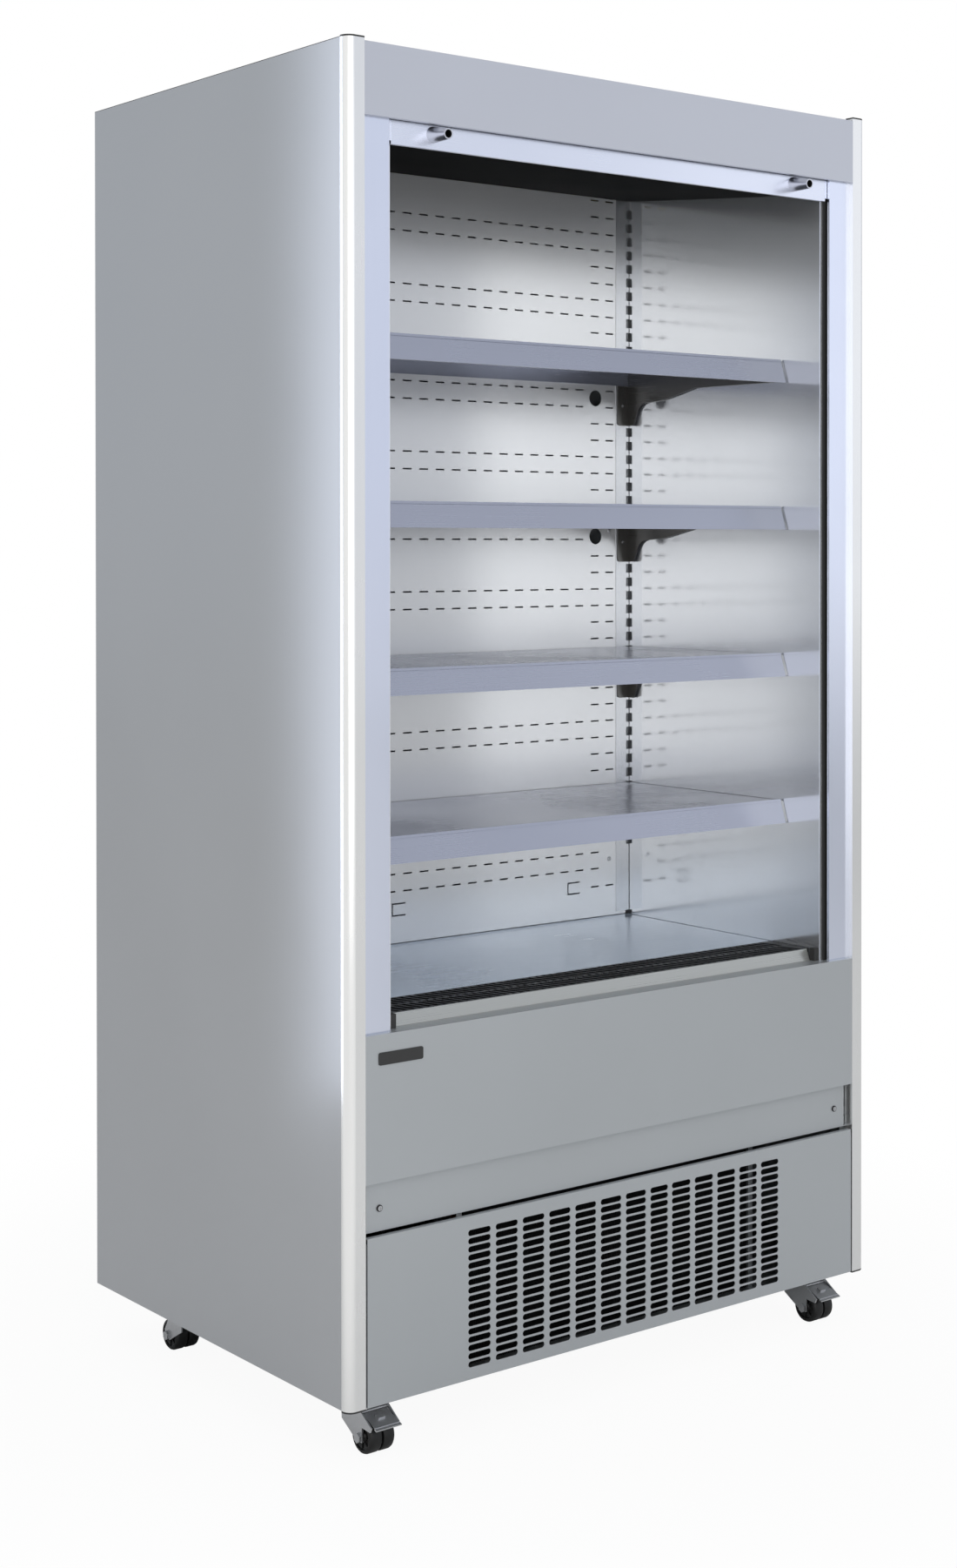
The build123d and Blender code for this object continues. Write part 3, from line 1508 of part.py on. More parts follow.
def evaporator_fan():
    """Fan that draws the return air into the coil."""
    return fan_wheel(
        0, coil_fan_front(), coil_fan_z(), COIL_FAN_DIA, COIL_HUB_DIA, FAN_HUB_LENGTH, FAN_SHAFT_DIA
    )


# ---- castors ------------------------------------------------------------------
def swivel_depth(row):
    """Depth of the swivel axis: the wheels trail away from the body's middle."""
    return FRONT_AXLE_DEPTH + TRAIL if row < 0 else REAR_AXLE_DEPTH - TRAIL


def axle_depth(row):
    """Depth of the wheel axle at rest."""
    return FRONT_AXLE_DEPTH if row < 0 else REAR_AXLE_DEPTH


def caster_plate(side, row):
    """Top plate bolted under the body, with the swivel bolt through it."""
    width, depth, thick = CASTER_PLATE
    x = side * WHEEL_X
    d = swivel_depth(row)
    plate = slab(
        x - width / 2, x + width / 2, d - depth / 2, d + depth / 2,
        BODY_BOTTOM - thick, BODY_BOTTOM,
    )
    low = FORK_TOP - FORK_PLATE
    return plate + rod_z(x, d, low, BODY_BOTTOM, SWIVEL_BOLT_DIA)


def caster_plates():
    """All four castor plates."""
    return group(*[caster_plate(side, row) for row in (-1, 1) for side in (-1, 1)])


def caster_fork(side, row):
    """Fork with a swivel head, two side plates, an axle bolt and nuts."""
    x = side * WHEEL_X
    swivel = swivel_depth(row)
    axle = axle_depth(row)
    lead = row
    axle_z = WHEEL_DIA / 2
    inner = WHEEL_WIDTH / 2 + FORK_GAP
    outer = inner + FORK_PLATE
    bore = SWIVEL_BOLT_DIA + 2 * AXLE_BORE_GAP
    top = BODY_BOTTOM - CASTER_PLATE[2] - FIT
    head = rod_z(x, swivel, FORK_TOP, top, SWIVEL_DIA)
    bridge = slab(
        x - outer,
        x + outer,
        swivel - SWIVEL_DIA / 2,
        swivel + SWIVEL_DIA / 2,
        FORK_TOP - FORK_PLATE,
        FORK_TOP,
    )
    fork = head + bridge
    back = swivel - lead * SWIVEL_DIA / 2
    front = swivel + lead * SWIVEL_DIA / 2
    lug, under = FORK_AXLE_LUG
    outline = [
        (back, FORK_TOP),
        (front, FORK_TOP),
        *[(axle + lead * reach, z) for reach, z in (FRONT_CHEEK if row < 0 else REAR_CHEEK)],
        (axle + lead * lug, axle_z - under),
        (axle - lead * lug, axle_z - under),
        (back, FORK_HEEL_Z),
    ]
    for cheek in (-1, 1):
        fork += prism_along_x(outline, x + cheek * inner, x + cheek * outer)
    fork += rod_x(x - outer, x + outer, axle, axle_z, AXLE_DIA)
    nut = RegularPolygon(NUT_ACROSS / 2, 6, major_radius=False)
    for cheek in (-1, 1):
        start = outer if cheek > 0 else -outer - NUT_LENGTH
        fork += Pos(x + start, y_at(axle), axle_z) * Rot(0, 90, 0) * extrude(nut, NUT_LENGTH)
    fork -= rod_z(x, swivel, FORK_TOP - FORK_PLATE, top, bore)
    if row < 0:
        pivot = axle + lead * PEDAL_PIVOT_LEAD
        fork -= rod_x(x - outer, x + outer, pivot, PEDAL_PIVOT_Z, PEDAL_PIN_DIA + 2 * PEDAL_PIN_GAP)
    return fork


def caster_wheel(side, row):
    """Twin wheel: rounded treads with a groove between them and a bore."""
    x = side * WHEEL_X
    d = axle_depth(row)
    z = WHEEL_DIA / 2
    wheel = rod_x(x - WHEEL_WIDTH / 2, x + WHEEL_WIDTH / 2, d, z, WHEEL_DIA)
    wheel = fillet(wheel.edges().filter_by(GeomType.CIRCLE), WHEEL_EDGE)
    groove = rod_x(x - WHEEL_GROOVE / 2, x + WHEEL_GROOVE / 2, d, z, WHEEL_DIA)
    core = rod_x(
        x - WHEEL_GROOVE / 2, x + WHEEL_GROOVE / 2, d, z, WHEEL_DIA - 2 * WHEEL_EDGE
    )
    wheel -= groove - core
    bore = AXLE_DIA + 2 * AXLE_BORE_GAP
    return wheel - rod_x(x - WHEEL_WIDTH, x + WHEEL_WIDTH, d, z, bore)


def brake_pedal(side):
    """Sloping foot plate with a nib and a lip, on a pin through the fork."""
    x = side * WHEEL_X
    d = axle_depth(-1) - PEDAL_PIVOT_LEAD
    plate = Box(PEDAL_WIDTH, PEDAL_LENGTH, PEDAL_THICK, align=(Align.CENTER, Align.MAX, Align.CENTER))
    lip = Pos(0, -PEDAL_LENGTH, 0) * Box(
        PEDAL_WIDTH + 2 * PEDAL_LIP_OVER, PEDAL_LIP, PEDAL_THICK, align=(Align.CENTER, Align.MAX, Align.MAX)
    )
    nib_w, nib_l, nib_h = PEDAL_NIB
    nib = Pos(0, -PEDAL_LENGTH / 2, PEDAL_THICK / 2) * Box(
        nib_w, nib_l, nib_h, align=(Align.CENTER, Align.CENTER, Align.MIN)
    )
    pedal = plate + lip + nib
    pedal += Rot(0, 90, 0) * Cylinder(PEDAL_PIN_DIA / 2, PEDAL_WIDTH)
    pedal = Pos(x, y_at(d), PEDAL_PIVOT_Z) * Rot(PEDAL_SLOPE, 0, 0) * pedal
    reach = WHEEL_WIDTH / 2 + FORK_GAP + FORK_PLATE
    pin = rod_x(x - reach, x + reach, d, PEDAL_PIVOT_Z, PEDAL_PIN_DIA)
    return pedal + pin


# ---- the nodes ----------------------------------------------------------------
def build_nodes():
    """Every named sub-part, in the order from the carcass to the castors."""
    nodes = {
        "base_frame": group(base_pan(), machine_frame(), compartment_ceiling()),
        "left_side_panel": side_panel(-1),
        "right_side_panel": side_panel(1),
        "foam_insulation": foam_insulation(),
        "rear_cover": rear_cover(),
        "top_cover": top_cover(),
        "left_corner_post": corner_post(-1),
        "right_corner_post": corner_post(1),
        "post_end_caps": post_end_caps(),
        "fascia_panel": fascia_panel(),
        "front_frames": group(front_frame(-1), front_frame(1)),
        "front_panel": front_panel(),
        "service_strip": service_strip(),
        "service_strip_screws": service_strip_screws(),
        "vent_panel": vent_panel(),
        "blank_plate": blank_plate(),
        "inner_walls": inner_walls(),
        "duct_wall": duct_wall(),
        "upper_back_panel": upper_back_panel(),
        "main_back_panel": main_back_panel(),
        "lower_duct_panel": lower_duct_panel(),
        "shelf_uprights": shelf_uprights(),
        "canopy_panel": canopy_panel(),
        "air_outlet_grille": air_outlet_grille(),
        "shelf_brackets": shelf_brackets(),
        "deck_panel": deck_panel(),
        "deck_supports": deck_supports(),
        "air_return_grille": air_return_grille(),
        "front_sill": front_sill(),
        "sill_end_blocks": sill_end_blocks(),
        "blind_cassette": blind_cassette(),
        "blind_roller": blind_roller(),
        "blind_curtain": blind_curtain(),
        "blind_bar": blind_bar(),
        "blind_knobs": blind_knobs(),
        "blind_guides": blind_guides(),
        "condenser": condenser(),
        "condenser_fan_shroud": condenser_fan_shroud(),
        "condenser_fan": condenser_fan(),
        "compressor": compressor(),
        "condensate_drain": group(condensate_tray(), drain_pipe()),
        "control_box": control_box(),
        "evaporator": evaporator(),
        "evaporator_fan_plate": evaporator_fan_plate(),
        "evaporator_fan": evaporator_fan(),
        "caster_plates": caster_plates(),
    }
    for number, level in enumerate(shelf_levels(), start=1):
        nodes[f"shelf_{number}"] = shelf(level)
    for row, end in ((-1, "front"), (1, "rear")):
        for side, hand in ((-1, "left"), (1, "right")):
            nodes[f"{end}_{hand}_fork"] = caster_fork(side, row)
            nodes[f"{end}_{hand}_wheel"] = caster_wheel(side, row)
    nodes["left_brake_pedal"] = brake_pedal(-1)
    nodes["right_brake_pedal"] = brake_pedal(1)
    return nodes


def main():
    """Write one STEP file for each node."""
    os.makedirs("parts", exist_ok=True)
    for name, shape in build_nodes().items():
        export_step(shape, f"parts/{name}.step")


if __name__ == "__main__":
    main()
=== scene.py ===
"""Looks of an open multideck display fridge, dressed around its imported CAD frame.

Metres, in the frame of the CAD: +X is the right-hand side seen from the front,
-Y is the front, +Z is up and the floor is at Z = 0.
"""

import json
import logging
import math
from dataclasses import dataclass
from enum import Enum
from typing import Callable, Iterable, Sequence

import bmesh
import bpy
from mathutils import Matrix, Vector

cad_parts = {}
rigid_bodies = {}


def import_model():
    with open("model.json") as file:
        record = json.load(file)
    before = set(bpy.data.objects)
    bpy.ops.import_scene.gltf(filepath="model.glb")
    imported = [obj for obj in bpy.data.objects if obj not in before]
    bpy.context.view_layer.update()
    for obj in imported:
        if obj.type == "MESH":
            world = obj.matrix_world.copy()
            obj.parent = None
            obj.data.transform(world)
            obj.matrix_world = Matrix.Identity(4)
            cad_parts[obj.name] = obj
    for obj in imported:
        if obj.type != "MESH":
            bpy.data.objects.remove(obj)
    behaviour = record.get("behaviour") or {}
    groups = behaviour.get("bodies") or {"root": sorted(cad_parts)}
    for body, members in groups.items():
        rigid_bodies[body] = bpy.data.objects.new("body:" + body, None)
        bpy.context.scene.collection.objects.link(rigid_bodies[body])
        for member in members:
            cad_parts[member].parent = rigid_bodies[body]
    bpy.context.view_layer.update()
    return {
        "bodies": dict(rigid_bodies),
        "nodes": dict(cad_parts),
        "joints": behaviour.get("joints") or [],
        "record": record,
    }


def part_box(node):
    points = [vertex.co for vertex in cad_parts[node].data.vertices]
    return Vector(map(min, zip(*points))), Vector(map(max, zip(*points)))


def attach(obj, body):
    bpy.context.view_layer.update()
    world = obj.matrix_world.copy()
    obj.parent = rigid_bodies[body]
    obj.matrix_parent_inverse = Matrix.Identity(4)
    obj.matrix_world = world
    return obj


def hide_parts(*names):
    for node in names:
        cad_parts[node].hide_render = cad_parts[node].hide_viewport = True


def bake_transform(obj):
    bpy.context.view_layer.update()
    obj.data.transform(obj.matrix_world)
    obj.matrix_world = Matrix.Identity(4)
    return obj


LOG = logging.getLogger("display_fridge")
MM = 0.001

Node = bpy.types.Node
Socket = bpy.types.NodeSocket
Thing = bpy.types.Object
Mesh = bmesh.types.BMesh
Vert = bmesh.types.BMVert
Pair = tuple[float, float]
Point = tuple[float, float, float]
Colour = tuple[float, float, float, float]
Looks = dict[str, Socket]

WHITE: Colour = (1.0, 1.0, 1.0, 1.0)
UNSTRETCHED: Point = (1.0, 1.0, 1.0)
# Share of a noise value's range that it reaches in practice.
NOISE_LOW, NOISE_HIGH = 0.3, 0.7
# Depth of relief in metres.
FINE_RELIEF, PEEL_RELIEF, GRAIN_RELIEF = 0.00004, 0.00005, 0.0001
THREAD_RELIEF, CELL_RELIEF = 0.0002, 0.0006
# Edges between faces at a larger angle stay sharp, in degrees.
CRISP, SOFT, DRAPED = 35.0, 50.0, 60.0
# Segments round a turned shape.
ROUND, WHEEL_ROUND, SHELL_ROUND = 48, 56, 96
HANDS = (("left", -1), ("right", 1))
SCREW_SEED = 7


class Slot(Enum):
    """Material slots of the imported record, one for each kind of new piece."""

    BLIND_METAL = "blind_metal"
    CURTAIN = "curtain"
    COIL = "coil"
    FAN_PLASTIC = "fan_plastic"
    ZINC = "zinc"
    WHEEL_BLACK = "wheel_black"
    GALVANISED = "galvanised"
    COMPRESSOR = "compressor_shell"


class Grain(Enum):
    """Direction of a metal's brushing or drawing lines, as noise scales per axis."""

    ALONG_X = (3.0, 700.0, 700.0)
    ALONG_Y = (700.0, 3.0, 700.0)
    ALONG_Z = (700.0, 700.0, 3.0)


def tint(code: str) -> Colour:
    """Turn a written sRGB colour into the linear colour that shaders take.

    Args:
        code: Six hexadecimal digits.

    Returns:
        Linear red, green, blue and full opacity.
    """
    parts = [int(code[i : i + 2], 16) / 255 for i in (0, 2, 4)]
    linear = [c / 12.92 if c <= 0.04045 else ((c + 0.055) / 1.055) ** 2.4 for c in parts]
    return (linear[0], linear[1], linear[2], 1.0)


def placed(name: str, data: bpy.types.ID) -> Thing:
    """Add an object with the given data to the scene and return it."""
    thing = bpy.data.objects.new(name, data)
    bpy.context.scene.collection.objects.link(thing)
    return thing


def scaled(colour: Colour, factor: float) -> Colour:
    """Return a colour made lighter or darker by a factor."""
    return (colour[0] * factor, colour[1] * factor, colour[2] * factor, 1.0)


class Graph:
    """Short hand for building a node tree, of a shader or of geometry."""

    def __init__(self, tree: bpy.types.NodeTree) -> None:
        """Keep the tree that nodes are added to."""
        self.tree = tree

    @classmethod
    def emptied(cls, block: bpy.types.Material | bpy.types.World) -> "Graph":
        """Clear the node tree of a material or a world and return it."""
        block.use_nodes = True
        block.node_tree.nodes.clear()
        return cls(block.node_tree)

    def add(
        self, kind: str, inputs: dict[str | int, object] | None = None, **settings: object
    ) -> Node:
        """Add a node, set its own properties and feed its inputs.

        Args:
            kind: Blender's name for the node type.
            inputs: Plain values or output sockets, by each input's name or number.
            settings: Properties of the node.

        Returns:
            The new node.
        """
        node = self.tree.nodes.new(kind)
        for name, value in settings.items():
            setattr(node, name, value)
        for key, value in (inputs or {}).items():
            if isinstance(value, Socket):
                self.tree.links.new(value, node.inputs[key])
            else:
                node.inputs[key].default_value = value
        return node

    def maths(self, operation: str, *values: object) -> Socket:
        """Add a Math node on numbers or sockets and return its result."""
        return self.add("ShaderNodeMath", dict(enumerate(values)), operation=operation).outputs[0]

    def scale(self, vector: Socket, factor: Socket) -> Socket:
        """Multiply a vector by a number."""
        inputs = {0: vector, "Scale": factor}
        return self.add("ShaderNodeVectorMath", inputs, operation="SCALE").outputs["Vector"]

    def noise(
        self, place: Socket, size: float, detail: float, stretch: Point = UNSTRETCHED
    ) -> Socket:
        """Add noise on coordinates stretched by a scale per axis.

        Args:
            place: Coordinates.
            size: Scale of the noise itself.
            detail: Octaves of the noise.
            stretch: Stretch of the coordinates.

        Returns:
            The noise value socket.
        """
        mapping = self.add("ShaderNodeMapping", {"Vector": place, "Scale": stretch})
        inputs = {"Vector": mapping.outputs["Vector"], "Scale": size, "Detail": detail}
        return self.add("ShaderNodeTexNoise", inputs).outputs[0]

    def cells(self, place: Socket, size: float) -> Node:
        """Add Voronoi cells, as many a metre as the size says."""
        return self.add("ShaderNodeTexVoronoi", {"Vector": place, "Scale": size})

    def spread(
        self,
        value: Socket,
        reach: Pair,
        start: float = NOISE_LOW,
        end: float = NOISE_HIGH,
        **settings: object,
    ) -> Socket:
        """Map a value between start and end, by default a noise's usual reach, onto another.

        Args:
            value: The value.
            reach: Lower and upper end of the result.
            start: Value that gives the lower end.
            end: Value that gives the upper end.
            settings: Properties of the node.

        Returns:
            The result socket.
        """
        names = ("Value", "From Min", "From Max", "To Min", "To Max")
        inputs = dict(zip(names, (value, start, end, *reach)))
        return self.add("ShaderNodeMapRange", inputs, **settings).outputs["Result"]

    def mix(self, factor: Socket, first: object, second: object) -> Socket:
        """Mix two colours, plain or from sockets, by a factor that varies."""
        inputs = {0: factor, 6: first, 7: second}
        return self.add("ShaderNodeMix", inputs, data_type="RGBA").outputs[2]

    def bump(self, height: Socket, strength: float, depth: float) -> Socket:
        """Turn a height between 0 and 1 into a normal.

        Args:
            height: The height.
            strength: Strength of the effect.
            depth: Height of the relief in metres.

        Returns:
            The normal's socket.
        """
        inputs = {"Strength": strength, "Distance": depth, "Height": height}
        return self.add("ShaderNodeBump", inputs).outputs["Normal"]


@dataclass(frozen=True)
class Finish:
    """A surface finish; each kind adds its own pattern to one shader.

    Attributes:
        name: Plain name of the finish.
        colour: Main colour.
        metallic: Share of metal in the shader.
        roughness: Middle roughness.
        ior: Refractive index of the surface.
    """

    name: str
    colour: Colour
    metallic: float = 0.0
    roughness: float = 0.5
    ior: float = 1.45

    def material(self) -> bpy.types.Material:
        """Return the finish's material, made on its first use."""
        known = bpy.data.materials.get(self.name)
        if known is not None:
            return known
        made = bpy.data.materials.new(self.name)
        graph = Graph.emptied(made)
        place = graph.add("ShaderNodeTexCoord").outputs["Object"]
        plain = {
            "Base Color": self.colour,
            "Metallic": self.metallic,
            "Roughness": self.roughness,
            "IOR": self.ior,
        }
        shader = graph.add("ShaderNodeBsdfPrincipled", plain | self.pattern(graph, place))
        graph.add("ShaderNodeOutputMaterial", {"Surface": shader.outputs["BSDF"]})
        made.diffuse_color = self.colour
        return made

    def pattern(self, graph: Graph, place: Socket) -> Looks:
        """Return the shader inputs that the finish's own pattern drives; here none."""
        return {}

    def tones(self, graph: Graph, factor: Socket, low: float, high: float) -> Socket:
        """Vary the main colour between two shares of itself."""
        return graph.mix(factor, scaled(self.colour, low), scaled(self.colour, high))

    def gloss(self, graph: Graph, value: Socket, down: float, up: float) -> Socket:
        """Vary the roughness by a noise, between so much less and so much more."""
        return graph.spread(value, (self.roughness - down, self.roughness + up))


@dataclass(frozen=True)
class BrushedMetal(Finish):
    """Sheet or drawn metal with fine lines and faint handling marks.

    Attributes:
        grain: Direction of the lines.
        lines: Strength of the lines in the relief.
        smudge: How far handling marks change the roughness.
        contrast: How far the lines' tones differ.
    """

    grain: Grain = Grain.ALONG_X
    lines: float = 0.08
    smudge: float = 0.05
    metallic: float = 1.0
    contrast: float = 0.06

    def pattern(self, graph: Graph, place: Socket) -> Looks:
        """Stretch noise along the grain, and let wide marks change the gloss."""
        streak = graph.noise(place, size=1.0, detail=3.0, stretch=self.grain.value)
        marks = graph.noise(place, size=3.2, detail=4.0)
        fine = self.gloss(graph, streak, self.contrast / 2, self.contrast / 2)
        wide = graph.spread(marks, (-self.smudge, self.smudge))
        return {
            "Base Color": self.tones(graph, streak, 1 - self.contrast, 1 + self.contrast),
            "Roughness": graph.maths("ADD", fine, wide),
            "Normal": graph.bump(streak, self.lines, FINE_RELIEF),
        }


@dataclass(frozen=True)
class CoatedSheet(Finish):
    """Steel sheet with a coat: a very fine peel and faint clouds.

    Attributes:
        peel: Scale of the coat's peel, in cells a metre.
    """

    peel: float = 420.0

    def pattern(self, graph: Graph, place: Socket) -> Looks:
        """Add the peel as relief, and faint clouds to the tone and the gloss."""
        peel = graph.noise(place, size=self.peel, detail=2.0)
        cloud = graph.noise(place, size=2.4, detail=3.0)
        return {
            "Base Color": self.tones(graph, cloud, low=0.965, high=1.03),
            "Roughness": self.gloss(graph, cloud, down=0.03, up=0.04),
            "Normal": graph.bump(peel, strength=0.05, depth=PEEL_RELIEF),
        }


@dataclass(frozen=True)
class Moulded(Finish):
    """Moulded plastic or rubber with a spark-eroded grain and rubbed patches.

    Attributes:
        grain: Scale of the grain, in cells a metre.
        wear: Colour of rubbed and dusty patches.
    """

    grain: float = 900.0
    wear: Colour = (0.05, 0.05, 0.05, 1.0)

    def pattern(self, graph: Graph, place: Socket) -> Looks:
        """Add a pebbled grain as relief, and dusty patches to tone and gloss."""
        dust = graph.noise(place, size=38.0, detail=5.0)
        dusty = graph.spread(dust, reach=(0.0, 0.35))
        pebbles = graph.cells(place, self.grain).outputs["Distance"]
        return {
            "Base Color": graph.mix(dusty, self.colour, self.wear),
            "Roughness": self.gloss(graph, dust, down=0.06, up=0.08),
            "Normal": graph.bump(pebbles, strength=0.15, depth=GRAIN_RELIEF),
        }


@dataclass(frozen=True)
class Spangled(Finish):
    """Zinc coat: crystals of slightly different greys.

    Attributes:
        crystal: Scale of the crystals, in cells a metre.
        contrast: How far the crystals' tones differ.
    """

    crystal: float = 95.0
    contrast: float = 0.16
    metallic: float = 0.9

    def pattern(self, graph: Graph, place: Socket) -> Looks:
        """Give each crystal its own tone and gloss, with fine scratches."""
        crystals = graph.cells(place, self.crystal).outputs["Color"]
        parts = graph.add("ShaderNodeSeparateColor", {0: crystals}).outputs
        play = self.contrast / 2
        reach = (self.roughness - play, self.roughness + play)
        scratch = graph.noise(place, size=1.0, detail=2.0, stretch=(40.0, 900.0, 60.0))
        return {
            "Base Color": self.tones(graph, parts[0], 1 - self.contrast, 1 + self.contrast),
            "Roughness": graph.spread(parts[1], reach, start=0.0, end=1.0),
            "Normal": graph.bump(scratch, self.contrast / 3, FINE_RELIEF),
        }


@dataclass(frozen=True)
class CutFoam(Finish):
    """Rigid insulation foam: closed cells with thin walls.

    Attributes:
        cell: Scale of the cells, in cells a metre.
        depth: How far a cell's tone follows its hollow, darker in the middle as painted shade.
    """

    cell: float = 340.0
    depth: float = 0.6

    def pattern(self, graph: Graph, place: Socket) -> Looks:
        """Darken the middle of each cell as painted shade, sink it in the relief, and vary the
        foam's tone.
        """
        hollow = graph.cells(place, self.cell).outputs["Distance"]
        cloud = graph.noise(place, size=9.0, detail=3.0)
        # The cells' hollows are darkened as painted shade, mixed with the random cloud tone.
        shade = graph.maths("MULTIPLY_ADD", hollow, self.depth, cloud)
        return {
            "Base Color": self.tones(graph, shade, low=0.8, high=1.1),
            "Normal": graph.bump(hollow, strength=0.5, depth=CELL_RELIEF),
        }


@dataclass(frozen=True)
class Woven(Finish):
    """Coated fabric: warp and weft threads that follow the sheet's own UV map.

    Attributes:
        threads: Threads across each metre of the sheet.
        second: Colour of the weft.
    """

    threads: float = 900.0
    second: Colour = (0.5, 0.5, 0.5, 1.0)

    def pattern(self, graph: Graph, place: Socket) -> Looks:
        """Cross two thread waves, for the relief and, soiled in patches, for the tone."""
        inputs = {
            "Vector": graph.add("ShaderNodeUVMap").outputs["UV"],
            "Scale": self.threads * math.pi / 10,
            "Distortion": 0.4,
        }
        waves = [
            graph.add("ShaderNodeTexWave", inputs, wave_type="BANDS", bands_direction=axis)
            for axis in ("X", "Y")
        ]
        weave = graph.maths("MAXIMUM", *(wave.outputs["Fac"] for wave in waves))
        soil = graph.spread(graph.noise(place, size=14.0, detail=3.0), reach=(0.7, 1.0))
        tone = graph.maths("MULTIPLY", weave, soil)
        return {
            "Base Color": graph.mix(tone, self.second, self.colour),
            "Normal": graph.bump(weave, strength=0.35, depth=THREAD_RELIEF),
        }


class Palette:
    """Every finish of the object."""

    side_sheet = CoatedSheet("side_sheet", tint("B5B7BA"), 0.4, 0.34)
    front_sheet = CoatedSheet("front_sheet", tint("B3B7BA"), 0.5, 0.34)
    # The fascia wears a lighter, bluer copy of the silver sheet: painted light on the fascia.
    fascia_sheet = CoatedSheet("fascia_sheet", tint("C2C5CE"), 0.5, 0.34)
    post = BrushedMetal(
        "post_aluminium", tint("ECECEB"), 0.9, 0.24, grain=Grain.ALONG_Z, lines=0.01, contrast=0.01
    )
    frame = BrushedMetal(
        "frame_steel", tint("DEE3F2"), 1.0, 0.22, grain=Grain.ALONG_Z, lines=0.02, contrast=0.02
    )
    wall = BrushedMetal(
        "wall_steel", tint("F4F6F9"), 0.8, 0.13,
        grain=Grain.ALONG_Z, lines=0.001, smudge=0.01, contrast=0.004,
    )
    back = BrushedMetal(
        "back_steel", tint("ECEDEE"), 0.6, 0.26, lines=0.001, smudge=0.01, contrast=0.005
    )
    # Shelves: a darker copy of the steel on lips and undersides as painted shade, and a lighter
    # copy on the tops as painted light.
    tray = BrushedMetal("shelf_steel", tint("A4A8B6"), 0.75, 0.26, lines=0.02, contrast=0.03)
    tray_top_painted_light = BrushedMetal("shelf_top_steel", tint("F0F5FD"), 0.6, 0.2, lines=0.01, contrast=0.02)
    upright = BrushedMetal(
        "upright_steel", tint("CDCFD2"), 0.8, 0.24, grain=Grain.ALONG_Z, lines=0.02, contrast=0.03
    )
    # The brackets' steel is darkened to a grey-brown as painted shade, for the shade under the
    # shelves.
    bracket = BrushedMetal(
        "bracket_steel", tint("6A6967"), 0.85, 0.3, grain=Grain.ALONG_Y, lines=0.02
    )
    deck = BrushedMetal("deck_steel", tint("DCEAFA"), 0.5, 0.24, lines=0.02, contrast=0.03)
    sill = BrushedMetal("sill_steel", tint("AEB0AE"), 0.5, 0.3, lines=0.02)
    bar = BrushedMetal("bar_aluminium", tint("E4E8F4"), 1.0, 0.26, lines=0.01, contrast=0.02)
    knob = BrushedMetal("knob_aluminium", tint("C8CAD2"), 1.0, 0.3, grain=Grain.ALONG_Y, lines=0.02)
    galvanised = Spangled("galvanised_sheet", tint("AEB2B5"), 0.9, 0.4)
    zinc = Spangled("zinc_plate", tint("C3C4C6"), 0.9, 0.33, crystal=900.0, contrast=0.04)
    # Dark zinc on the screw heads' rims: painted shade round each head.
    screw_rim = Spangled("screw_rim_shade", tint("2A2A2C"), 0.6, 0.4, crystal=900.0, contrast=0.04)
    # Near-black plastic for the knobs' bores: painted shade inside the holes.
    bore = Moulded("knob_bore", tint("050505"), 0.0, 0.7, wear=tint("0C0C0C"))
    canopy = CoatedSheet("canopy_enamel", tint("060607"), 0.0, 0.6, ior=1.05)
    roof_edge = CoatedSheet("roof_edge_enamel", tint("121214"), 0.0, 0.5)
    black_plastic = Moulded("black_plastic", tint("141415"), 0.0, 0.42)
    grille = Moulded("grille_plastic", tint("0F0F10"), 0.0, 0.38)
    rubber = Moulded("wheel_rubber", tint("0A0A0A"), 0.0, 0.46, grain=620.0, wear=tint("1A1A19"))
    hub = Moulded("hub_plastic", tint("0C0C0C"), 0.0, 0.4, grain=1200.0, wear=tint("1A1A19"))
    fan = Moulded("fan_plastic", tint("232427"), 0.0, 0.4)
    shell = CoatedSheet("compressor_enamel", tint("17181A"), 0.1, 0.3, peel=260.0)
    coil_black = CoatedSheet("coil_enamel", tint("1E1F20"), 0.2, 0.5)
    fins = BrushedMetal("fin_aluminium", tint("C2C5C8"), 1.0, 0.42, grain=Grain.ALONG_Z)
    copper = BrushedMetal("copper_tube", tint("C77B52"), 1.0, 0.28)
    foam = CutFoam("insulation_foam", tint("D9C88F"), 0.0, 0.85)
    tray_plastic = Moulded("tray_plastic", tint("C9CBCC"), 0.0, 0.5, wear=tint("A9A595"))
    blind = Woven("blind_fabric", tint("C9CBD0"), 0.3, 0.45, second=tint("8F9299"))


